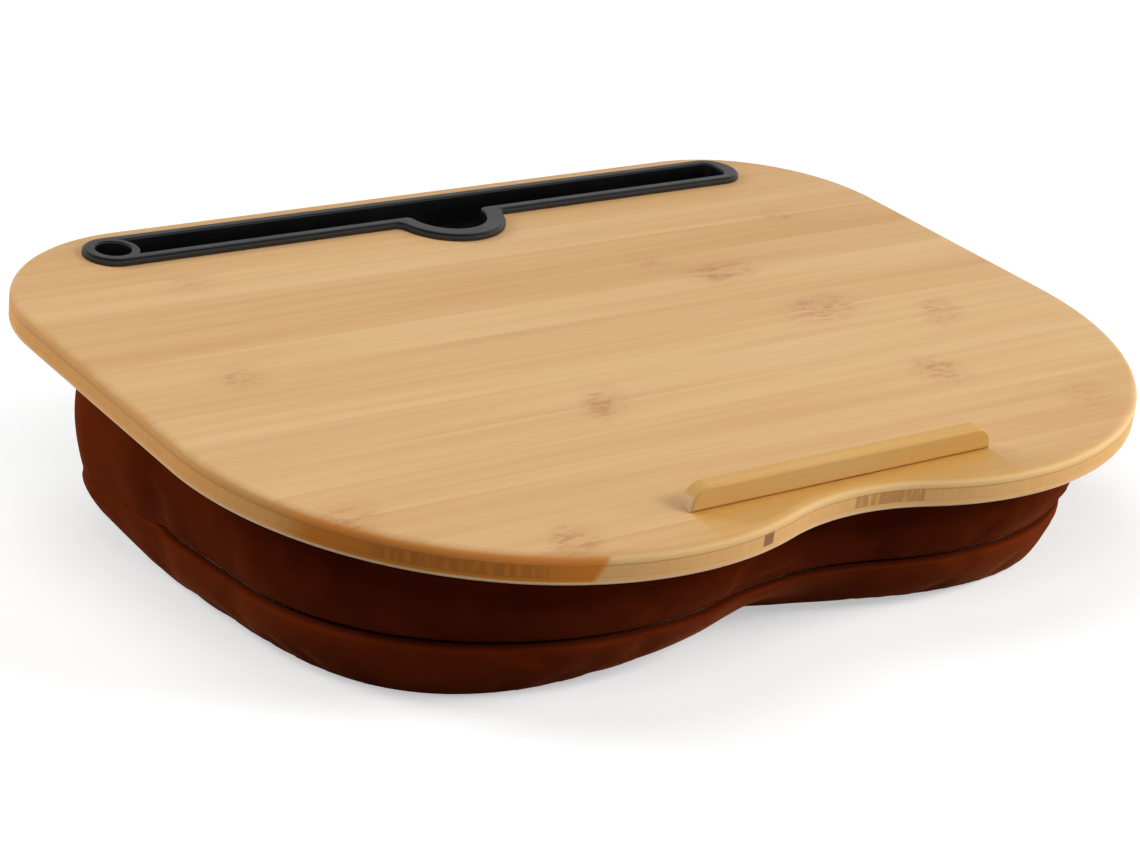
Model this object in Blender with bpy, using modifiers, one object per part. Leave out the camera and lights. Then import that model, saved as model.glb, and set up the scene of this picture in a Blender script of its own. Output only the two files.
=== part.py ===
"""Cushioned bamboo lap desk.

A three-ply bamboo board with a moulded slot tray let into its back edge and a
wooden ledge near its front edge stands on a bead-filled fabric cushion. The
board is modelled flat in its own frame, with X along the slot, Y from front to
back and Z up from its underside. One empty tilts that frame to the wedge angle
of the cushion, whose foot lies on the plane Z = 0 of the world.
"""
import math

import bmesh
import bpy
import numpy as np
from mathutils import Vector

# Board: overall outline and its three bamboo layers
BOARD_WIDTH = 0.440
BOARD_DEPTH = 0.331
BACK_CORNER_RADIUS = 0.074
FRONT_LOBE_SPACING = 0.160
BELLY_DEPTH = 0.0136
BACK_PLY = 0.003
CORE_PLY = 0.005
FACE_PLY = 0.004
GLUE_LINE = 0.0001
TOP_ROUND_RADIUS = 0.0034
UNDERSIDE_EASE = 0.0006
BOARD_TILT = math.radians(8.0)

# Gaps that keep neighbours apart, and how far cutters run past what they cut
CLEARANCE = 0.0003
OVERRUN = 0.004
FINE_OVERRUN = 0.000025
WELD_DISTANCE = 0.00001

# Slot tray let into the board: slot, finger notch and pen hole
SLOT_SETBACK = 0.0251
SLOT_WIDTH = 0.0154
SLOT_RIGHT_SETBACK = 0.0570
SLOT_CORNER_RADIUS = 0.0045
TRAY_WALL = 0.0016
TRAY_FLOOR = 0.0014
RIM_WIDTH = 0.0053
RIM_PROUD = 0.0030
RIM_DROP = 0.0014
RIM_SLOPE = 0.0020
LIP_ROUND = 0.0009
RIM_RIGHT_WIDTH = 0.0092
PEN_SETBACK = 0.0620
PEN_RADIUS = 0.0076
PEN_RING_WALL = 0.0035
NOTCH_RADIUS = 0.0181
NOTCH_CENTRE_OFFSET = 0.0092
NOTCH_SHIFT = 0.0014
NOTCH_RIM_WIDTH = 0.0085
NOTCH_FILLET = 0.0034

# Ledge that stops a laptop sliding off, with its two screws
LEDGE_LENGTH = 0.148
LEDGE_HEIGHT = 0.0095
LEDGE_DEPTH = 0.0072
LEDGE_END_RADIUS = 0.0080
LEDGE_EDGE_ROUND = 0.0012
LEDGE_SETBACK = 0.0203
LEDGE_SCREW_SETBACK = 0.024
LEDGE_SCREW_BITE = 0.0055

# Countersunk wood screws
SCREW_SHANK_RADIUS = 0.0015
SCREW_HEAD_RADIUS = 0.0031
SCREW_HEAD_DEPTH = 0.0020
SCREW_TIP = 0.0015
SCREW_TIP_RADIUS = 0.0005
SCREW_SINK = 0.0002
RECESS_LENGTH = 0.0032
RECESS_WIDTH = 0.0008
RECESS_DEPTH = 0.0010

# Fibreboard panel that carries the cushion, and what fixes it
PANEL_THICKNESS = 0.0040
PANEL_SCREW_BITE = 0.0060
PANEL_SCREW_SIDE_SETBACK = 0.080
PANEL_SCREW_EDGE_SETBACK = 0.0905
STAPLE_COUNT = 12
STAPLE_INSET = 0.0068
STAPLE_CROWN = 0.0100
STAPLE_LEG = 0.0038
STAPLE_WIRE_RADIUS = 0.0003

# Cushion cover: side band above the seam, bottom panel below it
COVER_THICKNESS = 0.0012
COVER_INSET = 0.0304
COVER_SHIFT = 0.0053
FULL_CORNER = 0.0040
FULL_CORNER_ANGLE = math.radians(35.0)
FULL_CORNER_SPREAD = math.radians(35.0)
SEAM_DROP = 0.0526
SEAM_TILT = math.radians(6.8)
SEAM_CHANNEL = 0.0016
SEAM_LIP = 0.0030
SEAM_GAP = 0.0004
BAND_LEAN = 0.0028
BAND_BULGE = 0.0050
HEM_WIDTH = 0.0120
HEM_ROUND = 0.0012

# Underside of the cushion
DOME_DEPTH = 0.0287
FOOT_SIDE_INSET = 0.0453
FOOT_FRONT_INSET = 0.0305
FOOT_BACK_INSET = 0.0695
FOOT_SHAPE_POWER = 3.7
BELLY_TUCK_SHARE = 0.37
BELLY_TUCK_ANGLE = 0.63
DOME_POWER = 1.5
FOOT_CUT = 0.0005

# Counts, and how far bends draw the stations together
CORNER_STEPS = 12
TOP_ROUND_STEPS = 4
EDGE_ROUND_STEPS = 3
BELLY_STEPS = 8
SMALL_ARC_STEPS = 8
CUSHION_STATIONS = 56
TURN_LENGTH = 0.05
DOME_STEPS = 6
BAND_STEPS = 4
TURN_STEPS = 12
STAPLE_HOLE_SIDES = 6
SMOOTH_ANGLE = math.radians(35.0)

# Worked out from the sizes above
BOARD_THICKNESS = BACK_PLY + CORE_PLY + FACE_PLY
BOARD_HALF = BOARD_WIDTH / 2
FRONT_CORNER_RADIUS = BOARD_HALF - FRONT_LOBE_SPACING / 2
BOARD_FRONT = -BOARD_DEPTH / 2
BOARD_BACK = BOARD_FRONT + BOARD_DEPTH
SLOT_LINE = BOARD_BACK - SLOT_SETBACK
SLOT_RIGHT_END = BOARD_HALF - SLOT_RIGHT_SETBACK
FLANGE_RIGHT_END = SLOT_RIGHT_END + RIM_RIGHT_WIDTH
PEN_PLACE = PEN_SETBACK - BOARD_HALF
FOOT_DROP = SEAM_DROP + DOME_DEPTH
STAPLE_SEAT = CLEARANCE + 2 * STAPLE_WIRE_RADIUS
HEM_TOP = -(STAPLE_SEAT + CLEARANCE)
PANEL_TOP = HEM_TOP - COVER_THICKNESS - CLEARANCE
PANEL_BOTTOM = PANEL_TOP - PANEL_THICKNESS
PANEL_INSET = COVER_INSET + BAND_LEAN + COVER_THICKNESS + CLEARANCE

MATERIALS = {
    "bamboo_face": ((0.680, 0.440, 0.205), 0.42, 0.0),
    "bamboo_core": ((0.450, 0.250, 0.110), 0.60, 0.0),
    "bamboo_back": ((0.740, 0.510, 0.260), 0.50, 0.0),
    "bamboo_ledge": ((0.600, 0.320, 0.085), 0.42, 0.0),
    "black_plastic": ((0.022, 0.022, 0.021), 0.45, 0.0),
    "fibreboard": ((0.270, 0.170, 0.090), 0.85, 0.0),
    "cover_fabric": ((0.110, 0.028, 0.008), 0.95, 0.0),
    "bead_fabric": ((0.620, 0.600, 0.560), 0.90, 0.0),
    "zinc_steel": ((0.560, 0.560, 0.540), 0.35, 1.0),
}
MATERIAL_USE = {
    "board_face_ply": "bamboo_face",
    "board_core_ply": "bamboo_core",
    "board_back_ply": "bamboo_back",
    "ledge": "bamboo_ledge",
    "slot_tray": "black_plastic",
    "base_panel": "fibreboard",
    "cover_band": "cover_fabric",
    "cover_bottom": "cover_fabric",
    "bead_bag": "bead_fabric",
}


def clear_scene():
    for item in list(bpy.data.objects):
        bpy.data.objects.remove(item, do_unlink=True)


def make_collection(name):
    collection = bpy.data.collections.new(name)
    bpy.context.scene.collection.children.link(collection)
    return collection


def make_materials():
    made = {}
    for name, (colour, roughness, metallic) in MATERIALS.items():
        material = bpy.data.materials.new(name)
        material.use_nodes = True
        shader = material.node_tree.nodes["Principled BSDF"]
        shader.inputs["Base Color"].default_value = (*colour, 1.0)
        shader.inputs["Roughness"].default_value = roughness
        shader.inputs["Metallic"].default_value = metallic
        material.diffuse_color = (*colour, 1.0)
        made[name] = material
    return made


clear_scene()
PARTS = make_collection("lap_desk")
CUTTERS = make_collection("cutters")
MADE_MATERIALS = make_materials()
BOARD_FRAME = bpy.data.objects.new("board_frame", None)
PARTS.objects.link(BOARD_FRAME)


# Outlines

def arc(centre, radius, start, end, steps):
    """Points on an arc between two angles, both ends included."""
    angles = np.linspace(start, end, steps + 1)
    return [(centre[0] + radius * math.cos(a), centre[1] + radius * math.sin(a)) for a in angles]


def board_outline(inset=0.0):
    """The board's outline moved inwards, counterclockwise from the front middle.

    Two large front corners meet in a shallow belly curve. Its radius makes it
    tangent to both of them.
    """
    offset = BOARD_HALF - FRONT_CORNER_RADIUS
    rise = FRONT_CORNER_RADIUS - BELLY_DEPTH
    spare = offset ** 2 + rise ** 2 - FRONT_CORNER_RADIUS ** 2
    belly_radius = spare / (2 * (FRONT_CORNER_RADIUS - rise))
    belly_centre = (0.0, BOARD_FRONT + BELLY_DEPTH - belly_radius)
    front_centre = (offset, BOARD_FRONT + FRONT_CORNER_RADIUS)
    back_centre = (BOARD_HALF - BACK_CORNER_RADIUS, BOARD_BACK - BACK_CORNER_RADIUS)
    lean = math.atan2(front_centre[1] - belly_centre[1], front_centre[0] - belly_centre[0])
    quarter = math.pi / 2
    half = arc(belly_centre, belly_radius + inset, quarter, lean, BELLY_STEPS)
    front_radius = FRONT_CORNER_RADIUS - inset
    half += arc(front_centre, front_radius, lean - math.pi, 0.0, 2 * CORNER_STEPS)[1:]
    half += arc(back_centre, BACK_CORNER_RADIUS - inset, 0.0, quarter, CORNER_STEPS)
    mirrored = [(-x, y) for x, y in reversed(half[1:])]
    return half + mirrored


def evenly(points, count):
    """The same closed outline with count points, a little closer together in its bends."""
    closed = np.array(points + points[:1])
    sides = np.diff(closed, axis=0)
    heading = np.unwrap(np.arctan2(sides[:, 1], sides[:, 0]))
    turn = np.abs(np.diff(heading, append=heading[0] + 2 * math.pi))
    steps = np.hypot(*sides.T) + TURN_LENGTH * (turn + np.roll(turn, 1)) / 2
    along = np.concatenate([[0.0], np.cumsum(steps)])
    places = np.linspace(0.0, along[-1], count, endpoint=False)
    return np.column_stack([np.interp(places, along, closed[:, axis]) for axis in (0, 1)])


def cushion_outline(inset, count):
    """An outline of the cushion, which sits a little forward under the board."""
    return evenly(board_outline(inset), count) - np.array([0.0, COVER_SHIFT])


def notched_front(line, radius, fillet):
    """The front side of a tray outline, left to right, round the finger notch."""
    centre = (NOTCH_SHIFT, SLOT_LINE - NOTCH_CENTRE_OFFSET)
    fillet_y = line - fillet
    fillet_x = math.sqrt((radius + fillet) ** 2 - (centre[1] - fillet_y) ** 2)
    reach = math.atan2(fillet_y - centre[1], fillet_x)
    quarter = math.pi / 2
    left = arc((centre[0] - fillet_x, fillet_y), fillet, quarter, -reach, SMALL_ARC_STEPS // 2)
    bowl = arc(centre, radius, math.pi - reach, 2 * math.pi + reach, 2 * SMALL_ARC_STEPS)
    start = (centre[0] + fillet_x, fillet_y)
    right = arc(start, fillet, math.pi + reach, quarter, SMALL_ARC_STEPS // 2)
    return left + bowl[1:-1] + right


def tray_outline(half_depth, right_end, right_radius, notch, fillet):
    """A long outline with a round left end, a notched front and a rounded right end."""
    quarter = math.pi / 2
    right = right_end - right_radius
    low = SLOT_LINE - half_depth + right_radius
    high = SLOT_LINE + half_depth - right_radius
    points = notched_front(SLOT_LINE - half_depth, notch, fillet)
    points += arc((right, low), right_radius, -quarter, 0.0, SMALL_ARC_STEPS)
    points += arc((right, high), right_radius, 0.0, quarter, SMALL_ARC_STEPS)
    points += arc((PEN_PLACE, SLOT_LINE), half_depth, quarter, 3 * quarter, 2 * SMALL_ARC_STEPS)
    return without_repeats(points)


def body_outline(inset):
    """Outside of the tray's walls, or (inset below 0) the hole that they drop into."""
    wall = TRAY_WALL - inset
    half = SLOT_WIDTH / 2 + wall
    end = SLOT_RIGHT_END + wall
    corner = SLOT_CORNER_RADIUS + wall
    return tray_outline(half, end, corner, NOTCH_RADIUS + wall, NOTCH_FILLET - wall)


def opening_outline(inset):
    """The slot that a phone stands in, whose left end bends round the pen ring."""
    half = SLOT_WIDTH / 2 - inset
    ring = PEN_RADIUS + PEN_RING_WALL + inset
    lean = math.asin(half / ring)
    quarter = math.pi / 2
    corner = SLOT_CORNER_RADIUS - inset
    right = SLOT_RIGHT_END - SLOT_CORNER_RADIUS
    low = SLOT_LINE - half + corner
    high = SLOT_LINE + half - corner
    points = notched_front(SLOT_LINE - half, NOTCH_RADIUS - inset, NOTCH_FILLET + inset)
    points += arc((right, low), corner, -quarter, 0.0, SMALL_ARC_STEPS)
    points += arc((right, high), corner, 0.0, quarter, SMALL_ARC_STEPS)
    points += arc((PEN_PLACE, SLOT_LINE), ring, lean, -lean, SMALL_ARC_STEPS)
    return without_repeats(points)


def without_repeats(points):
    """The outline without a point that lies on the one before it."""
    kept = []
    for index, point in enumerate(points):
        before = points[index - 1]
        if math.hypot(point[0] - before[0], point[1] - before[1]) > WELD_DISTANCE:
            kept.append(point)
    return kept


# Builders

def place(item, collection, hidden=False):
    collection.objects.link(item)
    item.parent = BOARD_FRAME
    if hidden:
        item.hide_render = True
        item.display_type = "WIRE"
    return item


def finish(item, material_name):
    item.data.materials.clear()
    item.data.materials.append(MADE_MATERIALS[material_name])
    item.data.shade_smooth()
    item.data.set_sharp_from_angle(angle=SMOOTH_ANGLE)
    return item


def plate(name, outline, low, high):
    """A flat outline, filled and given the thickness from low to high."""
    curve = bpy.data.curves.new(name, "CURVE")
    curve.dimensions = "2D"
    curve.fill_mode = "BOTH"
    curve.extrude = (high - low) / 2
    spline = curve.splines.new("POLY")
    spline.points.add(len(outline) - 1)
    for point, (x, y) in zip(spline.points, outline):
        point.co = (x, y, 0.0, 1.0)
    spline.use_cyclic_u = True
    source = bpy.data.objects.new(name + "_outline", curve)
    bpy.context.scene.collection.objects.link(source)
    bpy.context.view_layer.update()
    graph = bpy.context.evaluated_depsgraph_get()
    mesh = bpy.data.meshes.new_from_object(source.evaluated_get(graph))
    bpy.data.objects.remove(source, do_unlink=True)
    mesh.name = name
    weld = bmesh.new()
    weld.from_mesh(mesh)
    bmesh.ops.remove_doubles(weld, verts=weld.verts, dist=WELD_DISTANCE)
    bmesh.ops.recalc_face_normals(weld, faces=weld.faces)
    weld.to_mesh(mesh)
    weld.free()
    item = bpy.data.objects.new(name, mesh)
    item.location = (0.0, 0.0, (low + high) / 2)
    return place(item, PARTS)


def round_over(radius, top, segments, drop=None):
    """Inset and level of each ring of a quarter-round edge that ends at the top.

    With a drop, the edge falls by that much over the radius, as part of an ellipse.
    """
    fall = radius if drop is None else drop
    rings = []
    for step in range(segments + 1):
        angle = step / segments * math.pi / 2
        rings.append((radius * (1 - math.cos(angle)), top - fall * (1 - math.sin(angle))))
    return rings


def layered(name, outline_at, steps, cutter=False):
    """A plate whose outline is moved inwards by a given amount at each given level."""
    rings = [[(x, y, level) for x, y in outline_at(inset)] for inset, level in steps]
    return skin(name, rings, cutter=cutter)


def combine(item, tool, operation):
    boolean = item.modifiers.new(operation.lower() + "_" + tool.name, "BOOLEAN")
    boolean.operation = operation
    boolean.solver = "EXACT"
    boolean.object = tool


def skin(name, rings, caps=(True, True), cutter=False):
    """A loft through rings of equal count, with flat caps on the chosen ends."""
    shape = bmesh.new()
    rows = [[shape.verts.new(point) for point in ring] for ring in rings]
    for lower, upper in zip(rows, rows[1:]):
        for index in range(len(lower)):
            after = (index + 1) % len(lower)
            shape.faces.new((lower[index], lower[after], upper[after], upper[index]))
    if caps[0]:
        shape.faces.new(rows[0])
    if caps[1]:
        shape.faces.new(rows[-1])
    bmesh.ops.recalc_face_normals(shape, faces=shape.faces)
    mesh = bpy.data.meshes.new(name)
    shape.to_mesh(mesh)
    shape.free()
    return place(bpy.data.objects.new(name, mesh), CUTTERS if cutter else PARTS, cutter)


def turned(name, profile, centre, cutter=False):
    """A profile of radius and height, spun about a vertical line through centre."""
    mesh = bpy.data.meshes.new(name)
    mesh.from_pydata([(radius, 0.0, height) for radius, height in profile],
                     [(index, index + 1) for index in range(len(profile) - 1)], [])
    item = bpy.data.objects.new(name, mesh)
    screw = item.modifiers.new("turn", "SCREW")
    screw.steps = TURN_STEPS
    screw.render_steps = TURN_STEPS
    screw.use_merge_vertices = True
    screw.merge_threshold = WELD_DISTANCE
    item.location = centre
    return place(item, CUTTERS if cutter else PARTS, cutter)


# Board

def make_board():
    """Back, core and face plies, one glue line apart, with the tray's hole through them."""
    core_low = BACK_PLY
    face_low = BACK_PLY + CORE_PLY
    back_steps = [(UNDERSIDE_EASE, 0.0), (0.0, UNDERSIDE_EASE), (0.0, core_low - GLUE_LINE)]
    face_steps = [(0.0, face_low)]
    face_steps += round_over(TOP_ROUND_RADIUS, BOARD_THICKNESS, TOP_ROUND_STEPS)
    back = layered("board_back_ply", board_outline, back_steps)
    core = plate("board_core_ply", board_outline(), core_low, face_low - GLUE_LINE)
    face = layered("board_face_ply", board_outline, face_steps)
    plies = [back, core, face]
    for ply in plies:
        combine(ply, TRAY_HOLE, "DIFFERENCE")
    return plies


# Slot tray

def flange_outline(inset):
    """Outside of the rim that lies on the board."""
    half = SLOT_WIDTH / 2 + RIM_WIDTH - inset
    notch = NOTCH_RADIUS + NOTCH_RIM_WIDTH - inset
    return tray_outline(half, FLANGE_RIGHT_END - inset, half, notch, NOTCH_FILLET + inset)


def make_tray():
    """Flange on the board, walls and floor down through it, slot and pen hole cut out."""
    flange_low = BOARD_THICKNESS + CLEARANCE
    flange_top = BOARD_THICKNESS + RIM_PROUD
    floor_low = CLEARANCE
    floor_top = floor_low + TRAY_FLOOR
    steps = [(0.0, flange_low)] + round_over(RIM_SLOPE, flange_top, EDGE_ROUND_STEPS, RIM_DROP)
    tray = layered("slot_tray", flange_outline, steps)
    walls_top = (flange_low + flange_top) / 2
    walls = layered("tray_walls", body_outline, [(0.0, floor_low), (0.0, walls_top)], cutter=True)
    combine(tray, walls, "UNION")
    flare = opening_flare(floor_top, flange_top)
    slot = layered("slot_space", opening_outline, flare, cutter=True)
    combine(tray, slot, "DIFFERENCE")
    profile = [(0.0, floor_top)] + [(PEN_RADIUS - inset, level) for inset, level in flare]
    profile.append((0.0, flange_top + OVERRUN))
    pen = turned("pen_space", profile[::-1], (PEN_PLACE, SLOT_LINE, 0.0), cutter=True)
    combine(tray, pen, "DIFFERENCE")
    return tray


def opening_flare(floor_top, flange_top):
    """An opening's steps from its floor up, past the lip where it widens (inset below 0)."""
    lip = round_over(LIP_ROUND, flange_top + FINE_OVERRUN, EDGE_ROUND_STEPS)
    steps = [(0.0, floor_top)] + [(-inset, level) for inset, level in lip]
    return steps + [(-LIP_ROUND, flange_top + OVERRUN)]


# Ledge

def ledge_outline(inset):
    """The bar seen from the front: flat below, with its top ends rounded off."""
    half = LEDGE_LENGTH / 2
    quarter = math.pi / 2
    centre_x = half - LEDGE_END_RADIUS
    centre_y = LEDGE_HEIGHT - LEDGE_END_RADIUS
    radius = LEDGE_END_RADIUS - inset
    outline = [(-half + inset, inset), (half - inset, inset)]
    outline += arc((centre_x, centre_y), radius, 0.0, quarter, SMALL_ARC_STEPS)
    outline += arc((-centre_x, centre_y), radius, quarter, 2 * quarter, SMALL_ARC_STEPS)
    return outline


def make_ledge():
    """The bar, lofted from its front face to its back face with rounded edges."""
    back = round_over(LEDGE_EDGE_ROUND, LEDGE_DEPTH / 2, EDGE_ROUND_STEPS)
    front = [(inset, -level) for inset, level in reversed(back)]
    ledge = layered("ledge", ledge_outline, front + back)
    ledge.rotation_euler = (math.pi / 2, 0.0, 0.0)
    ledge.location = (0.0, ledge_line(), BOARD_THICKNESS + CLEARANCE)
    return ledge


def ledge_line():
    """Middle of the ledge, front to back."""
    return BOARD_FRONT + LEDGE_SETBACK + LEDGE_DEPTH / 2


# Screws

def screw_profile(length, grow):
    """A countersunk screw, or its hole, from its tip above down to its head."""
    head = SCREW_HEAD_RADIUS + grow
    shank = SCREW_SHANK_RADIUS + grow
    tip = length + grow
    return [(0.0, tip), (SCREW_TIP_RADIUS + grow, tip), (shank, tip - SCREW_TIP),
            (shank, SCREW_HEAD_DEPTH), (head, -grow), (0.0, -grow)]


def hole_profile(length):
    """The countersunk hole, whose mouth runs out past the face that it starts in."""
    wide = SCREW_HEAD_RADIUS + CLEARANCE
    return screw_profile(length, CLEARANCE)[:-1] + [(wide, -OVERRUN), (0.0, -OVERRUN)]


def make_screw(name, x, y, seat, length, carriers):
    """A screw driven upwards from the face at seat, and its hole in each carrier."""
    base = (x, y, seat + SCREW_SINK)
    screw = turned(name, screw_profile(length, 0.0), base)
    hole = turned(name + "_hole", hole_profile(length), base, cutter=True)
    for carrier in carriers:
        combine(carrier, hole, "DIFFERENCE")
    for turn, label in ((0.0, "a"), (math.pi / 2, "b")):
        bpy.ops.mesh.primitive_cube_add(size=1.0)
        slot = bpy.context.object
        slot.name = name + "_recess_" + label
        for owner in list(slot.users_collection):
            owner.objects.unlink(slot)
        place(slot, CUTTERS, True)
        slot.scale = (RECESS_LENGTH, RECESS_WIDTH, 2 * RECESS_DEPTH)
        slot.rotation_euler = (0.0, 0.0, turn)
        slot.location = base
        combine(screw, slot, "DIFFERENCE")
    return finish(screw, "zinc_steel")


# Cushion

def outward_from(line):
    """Outward direction at each point of a closed line that runs counterclockwise."""
    along = np.roll(line, -1, axis=0) - np.roll(line, 1, axis=0)
    along /= np.hypot(*along.T)[:, None]
    return np.column_stack([along[:, 1], -along[:, 0]])


def seam_stations():
    """Places round the seam, fuller at the front corners, and the outward direction there."""
    seam = cushion_outline(COVER_INSET, CUSHION_STATIONS)
    outward = outward_from(seam)
    turn = np.arctan2(outward[:, 1], np.abs(outward[:, 0])) + FULL_CORNER_ANGLE
    fullness = FULL_CORNER * np.exp(-(turn / FULL_CORNER_SPREAD) ** 2)
    return seam + outward * fullness[:, None], outward


def seam_height(y):
    return -(SEAM_DROP + math.tan(SEAM_TILT) * y)


def floor_height(y):
    """Height of the floor plane under the tilted board, in the board's frame."""
    return -(FOOT_DROP + math.tan(BOARD_TILT) * y)


def foot_places(seam):
    """The outline of the flat foot, which tucks in behind the belly, at each station."""
    middle = np.array([0.0, -COVER_SHIFT])
    away = seam - middle
    angle = np.arctan2(away[:, 1], away[:, 0])
    inset = np.where(away[:, 1] < 0.0, FOOT_FRONT_INSET, FOOT_BACK_INSET)
    depth = BOARD_BACK - inset
    wide = np.abs(np.cos(angle) / (BOARD_HALF - FOOT_SIDE_INSET)) ** FOOT_SHAPE_POWER
    deep = np.abs(np.sin(angle) / depth) ** FOOT_SHAPE_POWER
    reach = (wide + deep) ** (-1 / FOOT_SHAPE_POWER)
    from_front = (angle + math.pi / 2) / BELLY_TUCK_ANGLE
    reach *= 1 - BELLY_TUCK_SHARE * np.exp(-from_front ** 2)
    return middle + reach[:, None] * np.column_stack([np.cos(angle), np.sin(angle)])


def band_path(seam):
    """Offset from the seam line and height, from the panel's edge down to the seam."""
    low = seam_height(seam[:, 1]) + SEAM_GAP / 2
    start = np.full(len(seam), HEM_TOP - HEM_ROUND)
    path = []
    for step in range(BAND_STEPS):
        share = step / BAND_STEPS
        height = start + (low + SEAM_LIP - start) * share
        offset = -BAND_LEAN * (1 - share) ** 2 + BAND_BULGE * math.sin(math.pi * share)
        path.append((np.full(len(seam), offset), height))
    path.append((np.zeros(len(seam)), low + SEAM_LIP))
    path.append((np.full(len(seam), -SEAM_CHANNEL), low))
    return path


def hem_path(seam):
    """The top edge of the side band, turned in over the panel."""
    flat = np.full(len(seam), HEM_TOP)
    return [(np.full(len(seam), -BAND_LEAN - HEM_WIDTH), flat),
            (np.full(len(seam), -BAND_LEAN - HEM_ROUND / 2), flat)]


def dome_path(seam, outward):
    """Places and heights of the bottom panel, from the seam down to the flat foot."""
    foot = foot_places(seam)
    high = seam_height(seam[:, 1]) - SEAM_GAP / 2
    path = [(seam - outward * SEAM_CHANNEL, high)]
    for step in range(DOME_STEPS + 1):
        angle = step / DOME_STEPS * math.pi / 2
        spread = max(math.cos(angle), 0.0) ** (2 / DOME_POWER)
        depth = math.sin(angle) ** (2 / DOME_POWER)
        ring = foot + (seam - foot) * spread
        floor = floor_height(ring[:, 1])
        start = high - SEAM_LIP
        sunk = start + (floor - FOOT_CUT - start) * depth
        path.append((ring, np.maximum(sunk, floor)))
    return path


def with_heights(places, heights):
    return [Vector((x, y, z)) for (x, y), z in zip(places, heights)]


def shell(item, thickness):
    solidify = item.modifiers.new("cloth_thickness", "SOLIDIFY")
    solidify.thickness = thickness
    solidify.offset = -1.0
    solidify.use_even_offset = True


def make_cover():
    """The side band with its turned-in hem, and the bottom panel, as two cloth shells."""
    seam, outward = seam_stations()
    rings = []
    for offset, height in hem_path(seam) + band_path(seam):
        rings.append(with_heights(seam + outward * offset[:, None], height))
    band = skin("cover_band", rings, caps=(False, False))
    shell(band, COVER_THICKNESS)
    rings = [with_heights(places, heights) for places, heights in dome_path(seam, outward)]
    bottom = skin("cover_bottom", rings, caps=(False, True))
    shell(bottom, COVER_THICKNESS)
    return band, bottom


def inward_rings(rings, distance):
    """Rings moved inwards, against the outward normal of the surface that they make."""
    grid = np.array([[tuple(point) for point in ring] for ring in rings])
    down = np.gradient(grid, axis=0)
    along = np.roll(grid, -1, axis=1) - np.roll(grid, 1, axis=1)
    normal = np.cross(down, along)
    normal /= np.linalg.norm(normal, axis=2)[:, :, None]
    return grid - normal * distance


def make_bead_bag():
    """The filled inner bag, a solid that fits inside the cover and under the panel."""
    seam, outward = seam_stations()
    gap = COVER_THICKNESS + CLEARANCE
    band = band_path(seam)
    rings = [with_heights(seam + outward * offset[:, None], height)
             for offset, height in band[:BAND_STEPS] + band[-1:]]
    rings += [with_heights(places, heights) for places, heights in dome_path(seam, outward)[2:]]
    moved = inward_rings(rings, gap)
    moved[-1][:, :2] -= outward * gap
    moved[-1][:, 2] = floor_height(moved[-1][:, 1]) + gap
    fall = (PANEL_BOTTOM - CLEARANCE - moved[0][:, 2]) / (moved[1][:, 2] - moved[0][:, 2])
    moved[0] += (moved[1] - moved[0]) * fall[:, None]
    return skin("bead_bag", [[Vector(point) for point in ring] for ring in moved])


def panel_outline():
    """The panel's edge, just inside the side band at each of its stations."""
    seam, outward = seam_stations()
    return [tuple(point) for point in seam - outward * (PANEL_INSET - COVER_INSET)]


def make_staples(panel, band):
    """Staples round the panel's rim, through the hem, and the holes for their legs."""
    line = cushion_outline(PANEL_INSET + STAPLE_INSET, STAPLE_COUNT)
    outward = outward_from(line)
    along = np.column_stack([-outward[:, 1], outward[:, 0]])
    crown_height = -(CLEARANCE + STAPLE_WIRE_RADIUS)
    hole_radius = STAPLE_WIRE_RADIUS + CLEARANCE
    holes = bmesh.new()
    for index, (place_point, way) in enumerate(zip(line, along)):
        ends = [place_point + way * side * STAPLE_CROWN / 2 for side in (-1, 1)]
        path = [(*ends[0], crown_height - STAPLE_LEG), (*ends[0], crown_height),
                (*ends[1], crown_height), (*ends[1], crown_height - STAPLE_LEG)]
        finish(wire("staple_%02d" % (index + 1), path, STAPLE_WIRE_RADIUS), "zinc_steel")
        for x, y in ends:
            hole = bmesh.ops.create_cone(
                holes, cap_ends=True, segments=STAPLE_HOLE_SIDES, radius1=hole_radius,
                radius2=hole_radius, depth=2 * (STAPLE_LEG + CLEARANCE))
            bmesh.ops.translate(holes, verts=hole["verts"], vec=Vector((x, y, crown_height)))
    mesh = bpy.data.meshes.new("staple_holes")
    holes.to_mesh(mesh)
    holes.free()
    tool = place(bpy.data.objects.new("staple_holes", mesh), CUTTERS, True)
    combine(panel, tool, "DIFFERENCE")
    combine(band, tool, "DIFFERENCE")


def wire(name, path, radius):
    """A bent wire of round section with closed ends."""
    curve = bpy.data.curves.new(name, "CURVE")
    curve.dimensions = "3D"
    curve.bevel_depth = radius
    curve.bevel_resolution = 0
    curve.use_fill_caps = True
    spline = curve.splines.new("POLY")
    spline.points.add(len(path) - 1)
    for point, place_point in zip(spline.points, path):
        point.co = (*place_point, 1.0)
    source = bpy.data.objects.new(name + "_path", curve)
    bpy.context.scene.collection.objects.link(source)
    bpy.context.view_layer.update()
    graph = bpy.context.evaluated_depsgraph_get()
    mesh = bpy.data.meshes.new_from_object(source.evaluated_get(graph))
    bpy.data.objects.remove(source, do_unlink=True)
    mesh.name = name
    weld = bmesh.new()
    weld.from_mesh(mesh)
    bmesh.ops.remove_doubles(weld, verts=weld.verts, dist=WELD_DISTANCE)
    bmesh.ops.recalc_face_normals(weld, faces=weld.faces)
    weld.to_mesh(mesh)
    weld.free()
    return place(bpy.data.objects.new(name, mesh), PARTS)


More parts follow.
